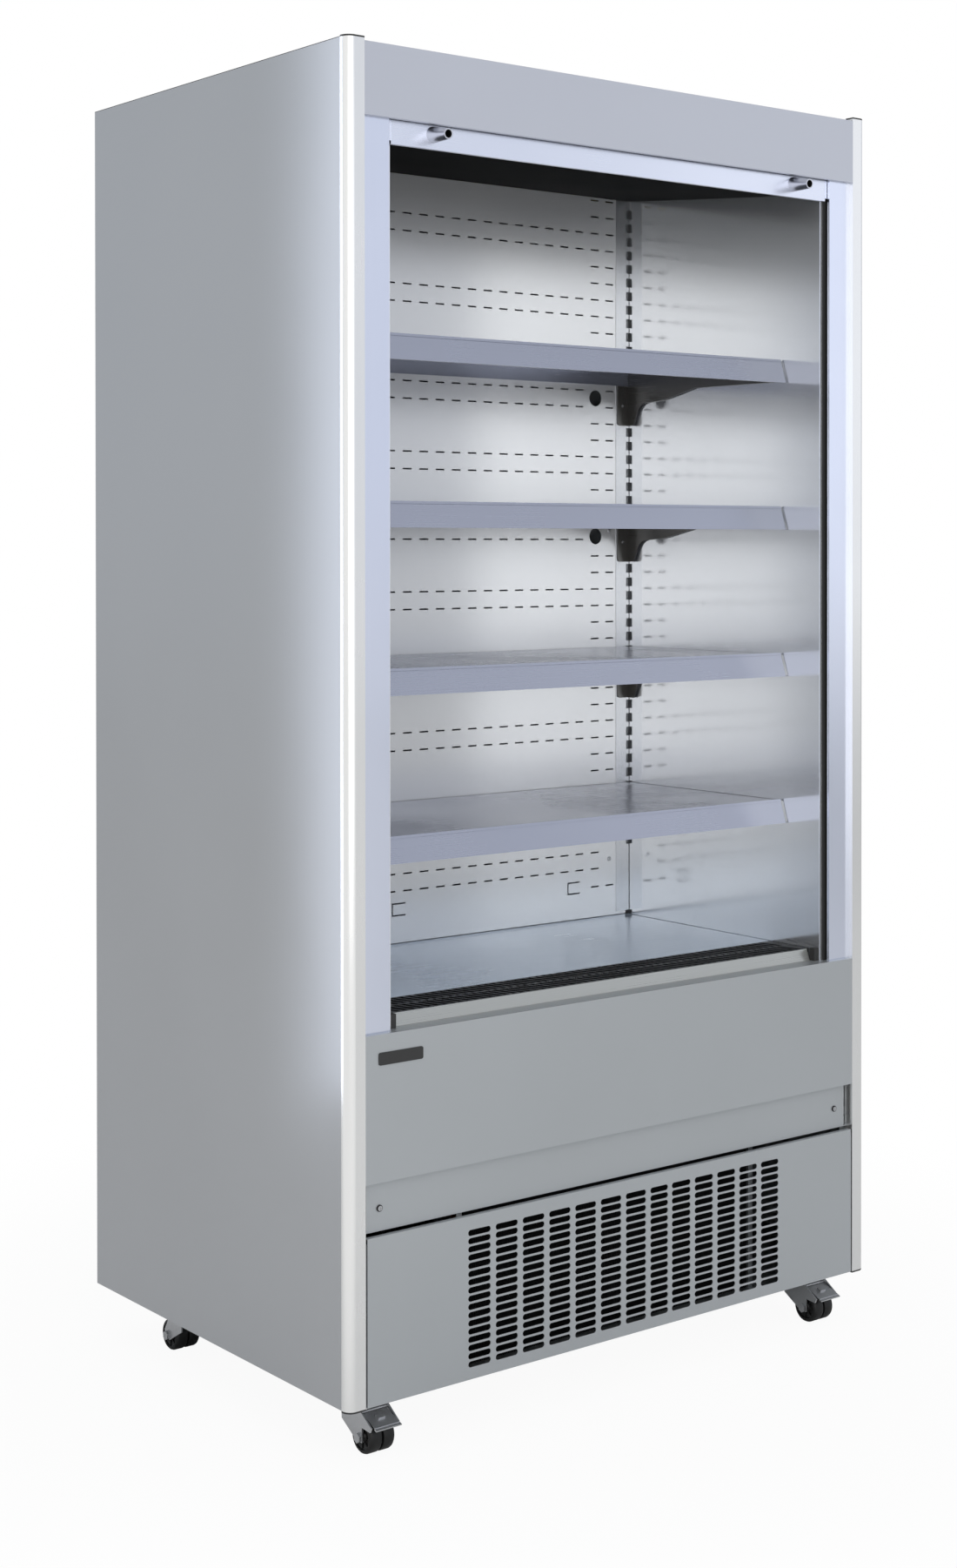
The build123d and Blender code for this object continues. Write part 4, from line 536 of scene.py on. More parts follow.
class Piece:
    """A new visual piece made from a bmesh or from points and faces."""

    @staticmethod
    def from_bmesh(name: str, shape: Mesh, finish: Finish) -> Thing:
        """Turn a bmesh into an object that wears one finish.

        Args:
            name: Name of the piece.
            shape: Mesh being built; it is freed here.
            finish: Finish of the piece.

        Returns:
            The new object, at the origin.
        """
        mesh = bpy.data.meshes.new(name)
        shape.to_mesh(mesh)
        shape.free()
        mesh.materials.append(finish.material())
        return placed(name, mesh)

    @staticmethod
    def block(shape: Mesh, low: Point, high: Point) -> None:
        """Add a box between two corners to a bmesh."""
        made = bmesh.ops.create_cube(shape, size=1.0)["verts"]
        size = [h - l for l, h in zip(low, high)]
        middle = [(h + l) / 2 for l, h in zip(low, high)]
        matrix = Matrix.Translation(middle) @ Matrix.Diagonal((*size, 1.0))
        bmesh.ops.transform(shape, matrix=matrix, verts=made)

    @staticmethod
    def turned(
        shape: Mesh,
        outline: Sequence[Pair],
        place: Matrix,
        steps: int,
        closed: bool,
    ) -> None:
        """Add a turned shape whose outline runs as (along, radius) about local X.

        Args:
            shape: Mesh being built.
            outline: Points of the outline from one end to the other.
            place: Where the turned shape goes.
            steps: Segments round the axis.
            closed: Whether the outline joins its own start, as round a bore.
        """
        rings: list[list[Vert]] = []
        for along, radius in outline:
            if radius < 1e-7:
                rings.append([shape.verts.new(place @ Vector((along, 0.0, 0.0)))])
                continue
            ring = []
            for i in range(steps):
                angle = 2 * math.pi * i / steps
                point = Vector((along, radius * math.cos(angle), radius * math.sin(angle)))
                ring.append(shape.verts.new(place @ point))
            rings.append(ring)
        pairs = list(zip(rings, rings[1:]))
        if closed:
            pairs.append((rings[-1], rings[0]))
        for first, second in pairs:
            for i in range(steps):
                j = (i + 1) % steps
                corners = []
                for ring, index in ((first, i), (first, j), (second, j), (second, i)):
                    corner = ring[index % len(ring)]
                    if corner not in corners:
                        corners.append(corner)
                if len(corners) > 2:
                    shape.faces.new(corners)
        bmesh.ops.recalc_face_normals(shape, faces=shape.faces)

    @staticmethod
    def rounded(shape: Mesh, width: float, segments: int = 2) -> None:
        """Round every edge that is sharper than 40 degrees."""
        sharp = [e for e in shape.edges if e.is_manifold and e.calc_face_angle() > math.radians(40)]
        bmesh.ops.bevel(
            shape,
            geom=sharp,
            offset=width,
            offset_type="OFFSET",
            segments=segments,
            profile=0.5,
            affect="EDGES",
            clamp_overlap=True,
        )

    @staticmethod
    def skin(shape: Mesh, rows: Sequence[Sequence[Vert]], closed: bool) -> None:
        """Join each row of vertices to the next with four-sided faces.

        Args:
            shape: Mesh being built.
            rows: Rows with the same number of vertices.
            closed: Whether a row joins its own start.
        """
        for first, second in zip(rows, rows[1:]):
            for i in range(len(first) if closed else len(first) - 1):
                j = (i + 1) % len(first)
                shape.faces.new((first[i], first[j], second[j], second[i]))

    @staticmethod
    def baked(thing: Thing, modifier: bpy.types.Modifier) -> Thing:
        """Run a modifier and keep the result as the piece's plain mesh."""
        bpy.context.view_layer.update()
        graph = bpy.context.evaluated_depsgraph_get()
        mesh = bpy.data.meshes.new_from_object(thing.evaluated_get(graph))
        thing.modifiers.remove(modifier)
        old = thing.data
        thing.data = mesh
        bpy.data.meshes.remove(old)
        mesh.name = thing.name
        return thing

    @staticmethod
    def smooth(thing: Thing, degrees: float = CRISP) -> Thing:
        """Shade a piece smooth, keeping edges sharper than an angle.

        Args:
            thing: The piece.
            degrees: Edges between faces at a larger angle stay sharp.

        Returns:
            The same piece.
        """
        shape = bmesh.new()
        shape.from_mesh(thing.data)
        limit = math.radians(degrees)
        for face in shape.faces:
            face.smooth = True
        for edge in shape.edges:
            edge.smooth = edge.is_manifold and edge.calc_face_angle() < limit
        shape.to_mesh(thing.data)
        shape.free()
        return thing


class Repeat:
    """Base of the Geometry Nodes trees that repeat a unit piece."""

    title = "Repeat"
    sockets: tuple[tuple[str, str], ...] = ()

    def __init__(self) -> None:
        """Build the tree with its named inputs."""
        self.tree = bpy.data.node_groups.new(self.title, "GeometryNodeTree")
        face = self.tree.interface
        face.new_socket(name="Unit", in_out="INPUT", socket_type="NodeSocketGeometry")
        face.new_socket(name="Geometry", in_out="OUTPUT", socket_type="NodeSocketGeometry")
        self.identifiers: dict[str, str] = {}
        for name, kind in (*self.sockets, ("Finish", "NodeSocketMaterial")):
            made = face.new_socket(name=name, in_out="INPUT", socket_type=kind)
            self.identifiers[name] = made.identifier
        self.graph = Graph(self.tree)
        self.given = self.graph.add("NodeGroupInput").outputs
        self.place()

    def place(self) -> None:
        """Build the nodes that place the unit; each kind of repeat has its own."""

    def index(self) -> Socket:
        """Return the number of each placed unit."""
        return self.graph.add("GeometryNodeInputIndex").outputs["Index"]

    def turn(self, angles: Socket) -> Socket:
        """Turn Euler angles into a rotation."""
        return self.graph.add("FunctionNodeEulerToRotation", {0: angles}).outputs[0]

    def points(self, count: Socket, place: Socket) -> Socket:
        """Add so many points at a place that may depend on each one's index."""
        inputs = {"Count": count, "Position": place}
        return self.graph.add("GeometryNodePoints", inputs).outputs[0]

    def close(self, points: Socket, unit: Socket, **inputs: Socket) -> None:
        """Place the unit on points, then end in Realize Instances and Set Material.

        Args:
            points: Where the units go.
            unit: What is placed.
            inputs: Further inputs of Instance on Points.
        """
        add = self.graph.add
        placed = {"Points": points, "Instance": unit} | inputs
        copies = add("GeometryNodeInstanceOnPoints", placed).outputs["Instances"]
        real = add("GeometryNodeRealizeInstances", {"Geometry": copies}).outputs["Geometry"]
        painted = {"Geometry": real, "Material": self.given["Finish"]}
        paint = add("GeometryNodeSetMaterial", painted).outputs["Geometry"]
        add("NodeGroupOutput", {"Geometry": paint})

    def bake(self, unit: Thing, finish: Finish, **values: object) -> Thing:
        """Run the tree on a unit piece and keep the result as a plain mesh.

        Args:
            unit: The piece that is repeated.
            finish: Finish of the result.
            values: The tree's named inputs, with spaces written as underscores.

        Returns:
            The unit's object, which now holds all the repeats.
        """
        modifier = unit.modifiers.new(self.title, "NODES")
        modifier.node_group = self.tree
        modifier[self.identifiers["Finish"]] = finish.material()
        for name, value in values.items():
            modifier[self.identifiers[name.replace("_", " ")]] = value
        unit.update_tag()
        return Piece.baked(unit, modifier)


class RowsRepeat(Repeat):
    """Repeats a unit along one step, and the whole row along a second step."""

    title = "Rows of a unit"
    sockets = (
        ("Count", "NodeSocketInt"),
        ("Step", "NodeSocketVector"),
        ("Rows", "NodeSocketInt"),
        ("Row Step", "NodeSocketVector"),
    )

    def place(self) -> None:
        """Put a point for each unit, worked out from its index."""
        graph, given, index = self.graph, self.given, self.index()
        along = graph.maths("MODULO", index, given["Count"])
        row = graph.maths("FLOOR", graph.maths("DIVIDE", index, given["Count"]))
        steps = {0: graph.scale(given["Step"], along), 1: graph.scale(given["Row Step"], row)}
        where = graph.add("ShaderNodeVectorMath", steps, operation="ADD").outputs["Vector"]
        total = graph.maths("MULTIPLY", given["Count"], given["Rows"])
        self.close(self.points(total, where), given["Unit"])


class TurnRepeat(Repeat):
    """Repeats a unit round an axis through a hub."""

    title = "Turns of a unit"
    sockets = (
        ("Count", "NodeSocketInt"),
        ("Axis", "NodeSocketVector"),
        ("Hub", "NodeSocketVector"),
    )

    def place(self) -> None:
        """Put all points on the hub, each turned by its share of a full turn."""
        graph, given = self.graph, self.given
        share = graph.maths("DIVIDE", 2 * math.pi, given["Count"])
        angle = graph.maths("MULTIPLY", self.index(), share)
        facing = self.turn(graph.scale(given["Axis"], angle))
        self.close(self.points(given["Count"], given["Hub"]), given["Unit"], Rotation=facing)


class SeatRepeat(Repeat):
    """Sets a fastener on every seat of a point mesh, each turned at random."""

    title = "Fasteners on seats"
    sockets = (
        ("Fastener", "NodeSocketObject"),
        ("Facing", "NodeSocketVector"),
        ("Seed", "NodeSocketInt"),
    )

    def place(self) -> None:
        """Use the unit's vertices as seats, and spin the fastener about its axis."""
        graph, given = self.graph, self.given
        limits = {3: 2 * math.pi, "Seed": given["Seed"]}
        spin = graph.add("FunctionNodeRandomValue", limits, data_type="FLOAT").outputs[1]
        own = self.turn(graph.add("ShaderNodeCombineXYZ", {"Z": spin}).outputs[0])
        turns = {0: self.turn(given["Facing"]), 1: own}
        both = graph.add("FunctionNodeRotateRotation", turns, rotation_space="LOCAL").outputs[0]
        head = graph.add("GeometryNodeObjectInfo", {"Object": given["Fastener"]})
        self.close(given["Unit"], head.outputs["Geometry"], Rotation=both)


class Works:
    """The frame being dressed, with the repeat trees that its pieces share."""

    def __init__(self, frame: dict) -> None:
        """Keep the frame and build the trees."""
        self.nodes: dict[str, Thing] = frame["nodes"]
        self.rows = RowsRepeat()
        self.turns = TurnRepeat()
        self.seats = SeatRepeat()

    def dress(self, finish: Finish, *names: str) -> None:
        """Give CAD nodes a finish in all their material slots.

        Args:
            finish: The finish.
            names: The nodes' names.
        """
        for name in names:
            mesh = self.nodes[name].data
            mesh.materials.clear()
            mesh.materials.append(finish.material())
            LOG.info("node %s wears %s", name, finish.name)

    def dress_by(
        self, name: str, finishes: Sequence[Finish], choose: Callable[[Vector], int]
    ) -> None:
        """Give a CAD node several finishes, chosen by where each face lies.

        Args:
            name: The node.
            finishes: The finishes.
            choose: Turns a face's centre into the index of its finish.
        """
        mesh = self.nodes[name].data
        mesh.materials.clear()
        for finish in finishes:
            mesh.materials.append(finish.material())
        for face in mesh.polygons:
            face.material_index = choose(face.center)
        LOG.info("node %s wears %s", name, ", ".join(f.name for f in finishes))

    def fit(
        self, piece: Thing, body: str, slot: Slot, replaces: Iterable[str] = ()
    ) -> Thing:
        """Set a finished piece on its body and hide the CAD nodes that it stands for.

        Args:
            piece: The piece.
            body: Body that it rides on.
            slot: Record slot that its finish belongs to; not used.
            replaces: CAD nodes that it stands for.

        Returns:
            The piece.
        """
        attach(piece, body)
        names = tuple(replaces)
        if names:
            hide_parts(*names)
        LOG.info("piece %s rides on %s", piece.name, body)
        return piece

    def make(
        self, name: str, shape: Mesh, finish: Finish, body: str, slot: Slot, *replaces: str
    ) -> None:
        """Turn a mesh into a smooth piece and fit it.

        Args:
            name: Name of the piece.
            shape: Mesh being built; it is freed here.
            finish: Finish of the piece.
            body: Body that it rides on.
            slot: Record slot that its finish belongs to.
            replaces: CAD nodes that it stands for.
        """
        piece = Piece.smooth(Piece.from_bmesh(name, shape, finish))
        self.fit(piece, body, slot, replaces)


@dataclass
class Assembly:
    """A sub-assembly of the object.

    Attributes:
        works: The frame being dressed.
    """

    works: Works


@dataclass
class Fasteners(Assembly):
    """Screws and bolts that hold the sheets.

    Attributes:
        screw_radius: Radius of a pan head.
        screw_height: Height of a pan head.
        recess: Half length of the cross recess.
        bolt_across: Distance across the flats of a hex head.
        bolt_height: Height of a hex head.
    """

    screw_radius: float = 4.0 * MM
    screw_height: float = 1.3 * MM
    recess: float = 2.0 * MM
    bolt_across: float = 10.0 * MM
    bolt_height: float = 4.0 * MM

    def pan_head(self, name: str) -> Thing:
        """Build a pan head about +Z with a pressed cross, its seat at the origin."""
        shape = bmesh.new()
        steps, top = 24, self.screw_height
        turns = [2 * math.pi * i / steps for i in range(steps)]
        layers = (
            (self.screw_radius, 0.0),
            (self.screw_radius * 0.97, top * 0.45),
            (self.screw_radius * 0.8, top * 0.85),
            (self.recess * 1.15, top),
        )
        rings = [
            [shape.verts.new((radius * math.cos(a), radius * math.sin(a), z)) for a in turns]
            for radius, z in layers
        ]
        arm, core = 0.28, self.recess * 0.42
        cross = []
        for angle in turns:
            c, s = math.cos(angle), math.sin(angle)
            reach = self.recess if min(abs(c), abs(s)) < arm else core
            cross.append(shape.verts.new((reach * c, reach * s, top * 0.98)))
        floor = [shape.verts.new((v.co.x * 0.8, v.co.y * 0.8, top * 0.25)) for v in cross]
        Piece.skin(shape, [*rings, cross, floor], closed=True)
        shape.faces.new(floor)
        shape.faces.new(rings[0][::-1])
        bmesh.ops.recalc_face_normals(shape, faces=shape.faces)
        return Piece.from_bmesh(name, shape, Palette.zinc)

    def hex_head(self, name: str) -> Thing:
        """Build a hex head with a washer face about +Z, its seat at the origin."""
        shape = bmesh.new()
        radius, height = self.bolt_across / math.sqrt(3), self.bolt_height
        washer = (24, radius * 1.25, radius * 1.25, 0.2, 0.1)
        nut = (6, radius, radius * 0.93, 0.8, 0.6)
        for segments, foot, top, thick, middle in (washer, nut):
            bmesh.ops.create_cone(
                shape,
                cap_ends=True,
                segments=segments,
                radius1=foot,
                radius2=top,
                depth=height * thick,
                matrix=Matrix.Translation((0, 0, height * middle)),
            )
        return Piece.from_bmesh(name, shape, Palette.zinc)

    def seat(
        self,
        name: str,
        head: Thing,
        points: Sequence[Point],
        facing: Point,
        finish: Finish = Palette.zinc,
    ) -> Thing:
        """Set a head on every seat and ride the result on the cabinet.

        Args:
            name: Name of the piece.
            head: The fastener's head; it is removed afterwards.
            points: Where the heads sit.
            facing: Turn that points +Z away from the sheet, in radians.
            finish: Finish of the heads.

        Returns:
            The finished piece.
        """
        mesh = bpy.data.meshes.new(name)
        mesh.from_pydata([Vector(p) for p in points], [], [])
        piece = self.works.seats.bake(
            placed(name, mesh), finish, Fastener=head, Facing=facing, Seed=SCREW_SEED
        )
        bpy.data.objects.remove(head)
        Piece.smooth(piece, SOFT)
        return self.works.fit(piece, "cabinet", Slot.ZINC)


@dataclass
class Carcass(Assembly):
    """Outer sheets, posts, insulation and roof.

    Attributes:
        fasteners: Maker of screws.
        roof_edge: Depth below which the roof's folded edge is dark.
        roof_inset: Distance of the roof screws from the roof's edge.
        roof_columns: Screws along the width of the roof.
        roof_rows: Screws along its depth.
    """

    fasteners: Fasteners
    roof_edge: float = 0.1 * MM
    roof_inset: float = 18.0 * MM
    roof_columns: int = 5
    roof_rows: int = 4

    def build(self) -> None:
        """Dress the sheets and screw down the roof."""
        self.works.dress(Palette.side_sheet, "left_side_panel", "right_side_panel")
        self.works.dress(Palette.galvanised, "rear_cover", "base_frame")
        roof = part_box("top_cover")[1].z - self.roof_edge
        finishes = (Palette.galvanised, Palette.roof_edge)
        self.works.dress_by("top_cover", finishes, lambda centre: int(centre.z < roof))
        self.works.dress(Palette.post, "left_corner_post", "right_corner_post")
        self.works.dress(Palette.black_plastic, "post_end_caps")
        self.works.dress(Palette.foam, "foam_insulation")
        self.roof_screws()

    def roof_screws(self) -> None:
        """Set screws along the roof's four edges."""
        low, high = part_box("top_cover")
        left, right = low.x + self.roof_inset, high.x - self.roof_inset
        front, rear = low.y + self.roof_inset, high.y - self.roof_inset
        seats = []
        for i in range(self.roof_columns):
            x = left + (right - left) * i / (self.roof_columns - 1)
            for j in range(self.roof_rows):
                edge = i in (0, self.roof_columns - 1) or j in (0, self.roof_rows - 1)
                if edge:
                    y = front + (rear - front) * j / (self.roof_rows - 1)
                    seats.append((x, y, high.z))
        head = self.fasteners.pan_head("roof_screw_head")
        self.fasteners.seat("roof_screws", head, seats, (0.0, 0.0, 0.0))


@dataclass
class FrontPanels(Assembly):
    """Fascia, panels below the opening and the frames beside it.

    Attributes:
        screw_core: Share of the strip screws' radius that keeps the plain zinc; outside it a head
            is painted dark as painted shade.
    """

    screw_core: float = 0.72

    def build(self) -> None:
        """Dress the front sheets, frames and screws."""
        # The fascia's lighter copy of the silver sheet is painted light.
        self.works.dress(Palette.fascia_sheet, "fascia_panel")
        self.works.dress(Palette.front_sheet, "front_panel", "service_strip", "vent_panel")
        self.works.dress(Palette.frame, "front_frames")
        low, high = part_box("service_strip_screws")
        radius = (high.z - low.z) / 2
        middles = (low.x + radius, high.x - radius)

        def at_rim(centre: Vector) -> int:
            """Return 1 on the outer faces of a screw's head, which wear painted shade."""
            near = min(abs(centre.x - x) for x in middles)
            return int(math.hypot(near, centre.z - low.z - radius) > radius * self.screw_core)

        # The screw heads' rims wear painted shade.
        self.works.dress_by("service_strip_screws", (Palette.zinc, Palette.screw_rim), at_rim)
        self.works.dress(Palette.black_plastic, "blank_plate", "sill_end_blocks")


@dataclass
class ColdSpace(Assembly):
    """Walls, back panels, ceiling, deck and air grilles of the display space.

    Attributes:
        fasteners: Maker of screws.
        screw_x: Distance of the back panels' screws from the middle.
        screw_z: Heights of the back panels' screws.
    """

    fasteners: Fasteners
    screw_x: tuple[float, ...] = (395.5 * MM,)
    screw_z: tuple[float, ...] = (737.6 * MM, 1339.0 * MM)

    def build(self) -> None:
        """Dress the cold space and set its screws."""
        self.works.dress(Palette.wall, "inner_walls")
        self.works.dress(Palette.galvanised, "duct_wall", "deck_supports")
        self.works.dress(Palette.back, "upper_back_panel", "main_back_panel", "lower_duct_panel")
        self.works.dress(Palette.upright, "shelf_uprights")
        self.works.dress(Palette.canopy, "canopy_panel")
        self.works.dress(Palette.grille, "air_outlet_grille", "air_return_grille")
        self.works.dress(Palette.deck, "deck_panel")
        self.works.dress(Palette.sill, "front_sill")
        self.back_screws()

    def back_screws(self) -> None:
        """Set the small screws that hold the back panels."""
        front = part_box("main_back_panel")[0].y
        seats = [
            (side * x, front, z) for x in self.screw_x for z in self.screw_z for side in (-1, 1)
        ]
        head = self.fasteners.pan_head("back_screw_head")
        self.fasteners.seat("back_panel_screws", head, seats, (math.pi / 2, 0.0, 0.0))


@dataclass
class Shelving(Assembly):
    """Four shelves and their hooked brackets.

    Attributes:
        count: Number of shelves.
        lip: Depth of the front lip, behind which a shelf's top face wears a smoother, lighter copy
            of the shelf steel; its lightness is painted light.
        edge: Height below a shelf's top down to which its top face is taken.
    """

    count: int = 4
    lip: float = 20.0 * MM
    edge: float = 0.6 * MM

    def build(self) -> None:
        """Dress the shelves and brackets."""
        for number in range(1, self.count + 1):
            name = f"shelf_{number}"
            low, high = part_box(name)
            level, front = high.z - self.edge, low.y + self.lip
            # The top behind the lip takes the lighter copy, painted light; the rest takes the
            # darker copy, painted shade.
            self.works.dress_by(
                name,
                (Palette.tray, Palette.tray_top_painted_light),
                lambda centre: int(centre.z > level and centre.y > front),
            )
        # The brackets wear steel darkened as painted shade.
        self.works.dress(Palette.bracket, "shelf_brackets")


@dataclass
class NightBlind(Assembly):
    """Roller blind behind the fascia: cassette, roller, curtain, bar and knobs.

    Attributes:
        axis_y: Y of the roller's axis.
        axis_z: Height of the roller's axis.
        tube_radius: Radius of the roller's tube.
        roll_radius: Radius of the wound curtain.
        half: Half width of the curtain.
        tube_half: Half length of the tube.
        pin_half: Half length over the end pins.
        pin_radius: Radius of the end pins.
        cloth: Thickness of the curtain.
        layer: Distance between wound layers.
        turn_steps: Flat steps in each wound turn.
        knob_radius: Radius of a knob's base.
        knob_bore: Radius about a knob's axis within which it is painted black, painted shade inside
            the bore.
        knob_droop: Slope of a knob's axis, in radians.
        bar_top: Height of the bar's top.
    """

    axis_y: float = -314.4 * MM
    axis_z: float = 1985.0 * MM
    tube_radius: float = 16.0 * MM
    roll_radius: float = 23.0 * MM
    half: float = 430.0 * MM
    tube_half: float = 434.0 * MM
    pin_half: float = 443.3 * MM
    pin_radius: float = 4.0 * MM
    cloth: float = 0.45 * MM
    layer: float = 0.62 * MM
    turn_steps: int = 56
    knob_radius: float = 12.0 * MM
    knob_bore: float = 6.35 * MM
    knob_droop: float = math.radians(5.0)
    bar_top: float = 1927.5 * MM

    def build(self) -> None:
        """Dress the metal parts and make the roller, roll and curtain."""
        self.works.dress(Palette.galvanised, "blind_cassette")
        self.works.dress(Palette.bar, "blind_bar")
        self.works.dress(Palette.black_plastic, "blind_guides")
        self.knobs()
        self.roller()
        self.roll()
        self.curtain()

    def knobs(self) -> None:
        """Dress the knobs, their bores painted black as painted shade."""
        low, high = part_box("blind_knobs")
        radius = self.knob_radius
        middles = (low.x + radius, high.x - radius)

        def inside(centre: Vector) -> int:
            """Return 1 on faces within the bore's radius of a knob's drooping axis."""
            axis_z = high.z - radius - (high.y - centre.y) * math.tan(self.knob_droop)
            off = math.hypot(min(abs(centre.x - x) for x in middles), centre.z - axis_z)
            return int(off < self.knob_bore)

        # Faces in the bore are painted black as painted shade inside the hole.
        self.works.dress_by("blind_knobs", (Palette.knob, Palette.bore), inside)

    def roller(self) -> None:
        """Make the roller's tube with its end plugs and pins."""
        shape = bmesh.new()
        lip, step = 1.5 * MM, 3.0 * MM
        half = [
            (self.pin_half, 0.0),
            (self.pin_half, self.pin_radius - 0.6 * MM),
            (self.pin_half - 0.6 * MM, self.pin_radius),
            (self.tube_half + 0.2 * MM, self.pin_radius),
            (self.tube_half, self.pin_radius + step),
            (self.tube_half - lip, self.pin_radius + step),
            (self.tube_half - lip, self.tube_radius - lip),
            (self.tube_half, self.tube_radius - lip),
            (self.tube_half, self.tube_radius - 0.3 * MM),
            (self.tube_half - 0.3 * MM, self.tube_radius),
        ]
        outline = half + [(-x, r) for x, r in half[::-1]]
        place = Matrix.Translation((0.0, self.axis_y, self.axis_z))
        Piece.turned(shape, outline, place, ROUND, closed=False)
        self.works.make(
            "blind_roller_tube", shape, Palette.bar, "roller", Slot.BLIND_METAL, "blind_roller"
        )

    def sheet(self, name: str, line: Sequence[Pair]) -> Thing:
        """Make a sheet of curtain from its side view, with threads along its UV map.

        Args:
            name: Name of the sheet.
            line: Side view of the sheet as (y, z) points.

        Returns:
            The sheet with its thickness.
        """
        shape = bmesh.new()
        laid = shape.loops.layers.uv.new("UVMap")
        lengths, rows = [0.0], []
        for (y0, z0), (y1, z1) in zip(line, line[1:]):
            lengths.append(lengths[-1] + math.hypot(y1 - y0, z1 - z0))
        for y, z in line:
            rows.append([shape.verts.new((x, y, z)) for x in (-self.half, self.half)])
        for index, (first, second) in enumerate(zip(rows, rows[1:])):
            face = shape.faces.new((first[0], first[1], second[1], second[0]))
            spans = ((0, index), (1, index), (1, index + 1), (0, index + 1))
            for loop, (across, at) in zip(face.loops, spans):
                loop[laid].uv = (across * 2 * self.half, lengths[at])
        piece = Piece.from_bmesh(name, shape, Palette.blind)
        thick = piece.modifiers.new("Cloth", "SOLIDIFY")
        thick.thickness = self.cloth
        thick.offset = 0.0
        return Piece.smooth(Piece.baked(piece, thick), DRAPED)

    def roll(self) -> None:
        """Wind the curtain in a spiral on the tube."""
        start = self.tube_radius + self.cloth
        end = self.roll_radius - self.cloth
        turns = (end - start) / self.layer
        steps = int(turns * self.turn_steps)
        line, length = [], 0.0
        for i in range(steps + 1):
            angle = math.pi - 2 * math.pi * turns * (1 - i / steps)
            radius = start + (end - start) * i / steps
            y = self.axis_y + radius * math.cos(angle)
            line.append((y, self.axis_z - radius * math.sin(angle)))
        for (y0, z0), (y1, z1) in zip(line, line[1:]):
            length += math.hypot(y1 - y0, z1 - z0)
        piece = self.sheet("wound_curtain", line)
        self.works.fit(piece, "roller", Slot.CURTAIN)

    def curtain(self) -> None:
        """Hang the free strip of curtain between the roll and the bar."""
        rows = 32
        y = self.axis_y - self.roll_radius - 0.7 * MM
        foot = self.bar_top
        line = [(y, self.axis_z + (foot - self.axis_z) * i / rows) for i in range(rows + 1)]
        piece = self.sheet("curtain_strip", line)
        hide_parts("blind_curtain")
        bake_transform(piece)
        LOG.info("piece %s hangs between cabinet and blind", piece.name)


@dataclass
class FanWheel(Assembly):
    """Axial fan wheel with cambered blades.

    Attributes:
        node: CAD node that the wheel stands for.
        body: Body that it rides on.
        hub_radius: Radius of the hub.
        bore: Radius of the shaft's bore.
        blades: Number of blades.
        blade: Thickness of a blade.
        root: Share of the hub's radius from which a blade starts.
        tip: Share of the wheel's radius at which it ends.
        depth: Share of the wheel's half depth that it fills.
        sweep: How far its middle line bends forwards at the tip, in radians.
        spread: Half the angle that it spans at the root, in radians.
        camber: Height of its curve, as a share of its half depth.
        twist: How much flatter it lies at the tip.
    """

    node: str
    body: str
    hub_radius: float
    bore: float = 4.05 * MM
    blades: int = 5
    blade: float = 1.6 * MM
    root: float = 0.94
    tip: float = 0.985
    depth: float = 0.86
    sweep: float = math.radians(16)
    spread: float = math.radians(27)
    camber: float = 0.18
    twist: float = 0.3

    def build(self) -> None:
        """Make the hub and the blades."""
        low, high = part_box(self.node)
        centre = (low + high) / 2
        reach = (high.x - low.x) / 2
        self.hub(low, high, centre)
        self.wheel(low, high, centre, reach)

    def hub(self, low: Vector, high: Vector, centre: Vector) -> None:
        """Turn the hub with its bore, a rounded front and a hollow back."""
        shape = bmesh.new()
        depth = (high.y - low.y) * 0.5
        r = self.hub_radius
        outline = [
            (-depth, self.bore),
            (-depth, r * 0.72),
            (-depth * 0.86, r * 0.93),
            (-depth * 0.6, r),
            (depth, r),
            (depth, r * 0.9),
            (-depth * 0.2, r * 0.88),
            (-depth * 0.2, self.bore * 2.2),
            (depth * 0.9, self.bore * 2.2),
            (depth * 0.9, self.bore),
        ]
        place = Matrix.Translation(centre) @ Matrix.Rotation(math.pi / 2, 4, "Z")
        Piece.turned(shape, outline, place, ROUND, closed=True)
        self.works.make(
            f"{self.node}_hub", shape, Palette.fan, self.body, Slot.FAN_PLASTIC, self.node
        )

    def wheel(self, low: Vector, high: Vector, centre: Vector, reach: float) -> None:
        """Shape one cambered blade and turn it round the hub."""
        shape = bmesh.new()
        across, along = 10, 12
        half_depth = (high.y - low.y) / 2 * self.depth
        root, tip = self.hub_radius * self.root, reach * self.tip
        grid = []
        for i in range(along + 1):
            t = i / along
            radius = root + (tip - root) * t
            sweep = self.sweep * t * t
            row = []
            for j in range(across + 1):
                u = 2 * j / across - 1
                spread = self.spread * (1 - 0.25 * t) * (1 - 0.25 * (t**6) * u * u)
                angle = sweep + spread * u
                camber = self.camber * half_depth * (1 - u * u)
                depth = camber - half_depth * (1 - self.twist * t) * u
                place = (radius * math.sin(angle), depth, radius * math.cos(angle))
                row.append(shape.verts.new(place))
            grid.append(row)
        Piece.skin(shape, grid, closed=False)
        bmesh.ops.solidify(shape, geom=shape.faces[:], thickness=self.blade)
        bmesh.ops.recalc_face_normals(shape, faces=shape.faces)
        unit = Piece.from_bmesh(f"{self.node}_blades", shape, Palette.fan)
        blades = self.works.turns.bake(
            unit, Palette.fan, Count=self.blades, Axis=(0.0, 1.0, 0.0), Hub=tuple(centre)
        )
        Piece.smooth(blades, SOFT)
        self.works.fit(blades, self.body, Slot.FAN_PLASTIC)


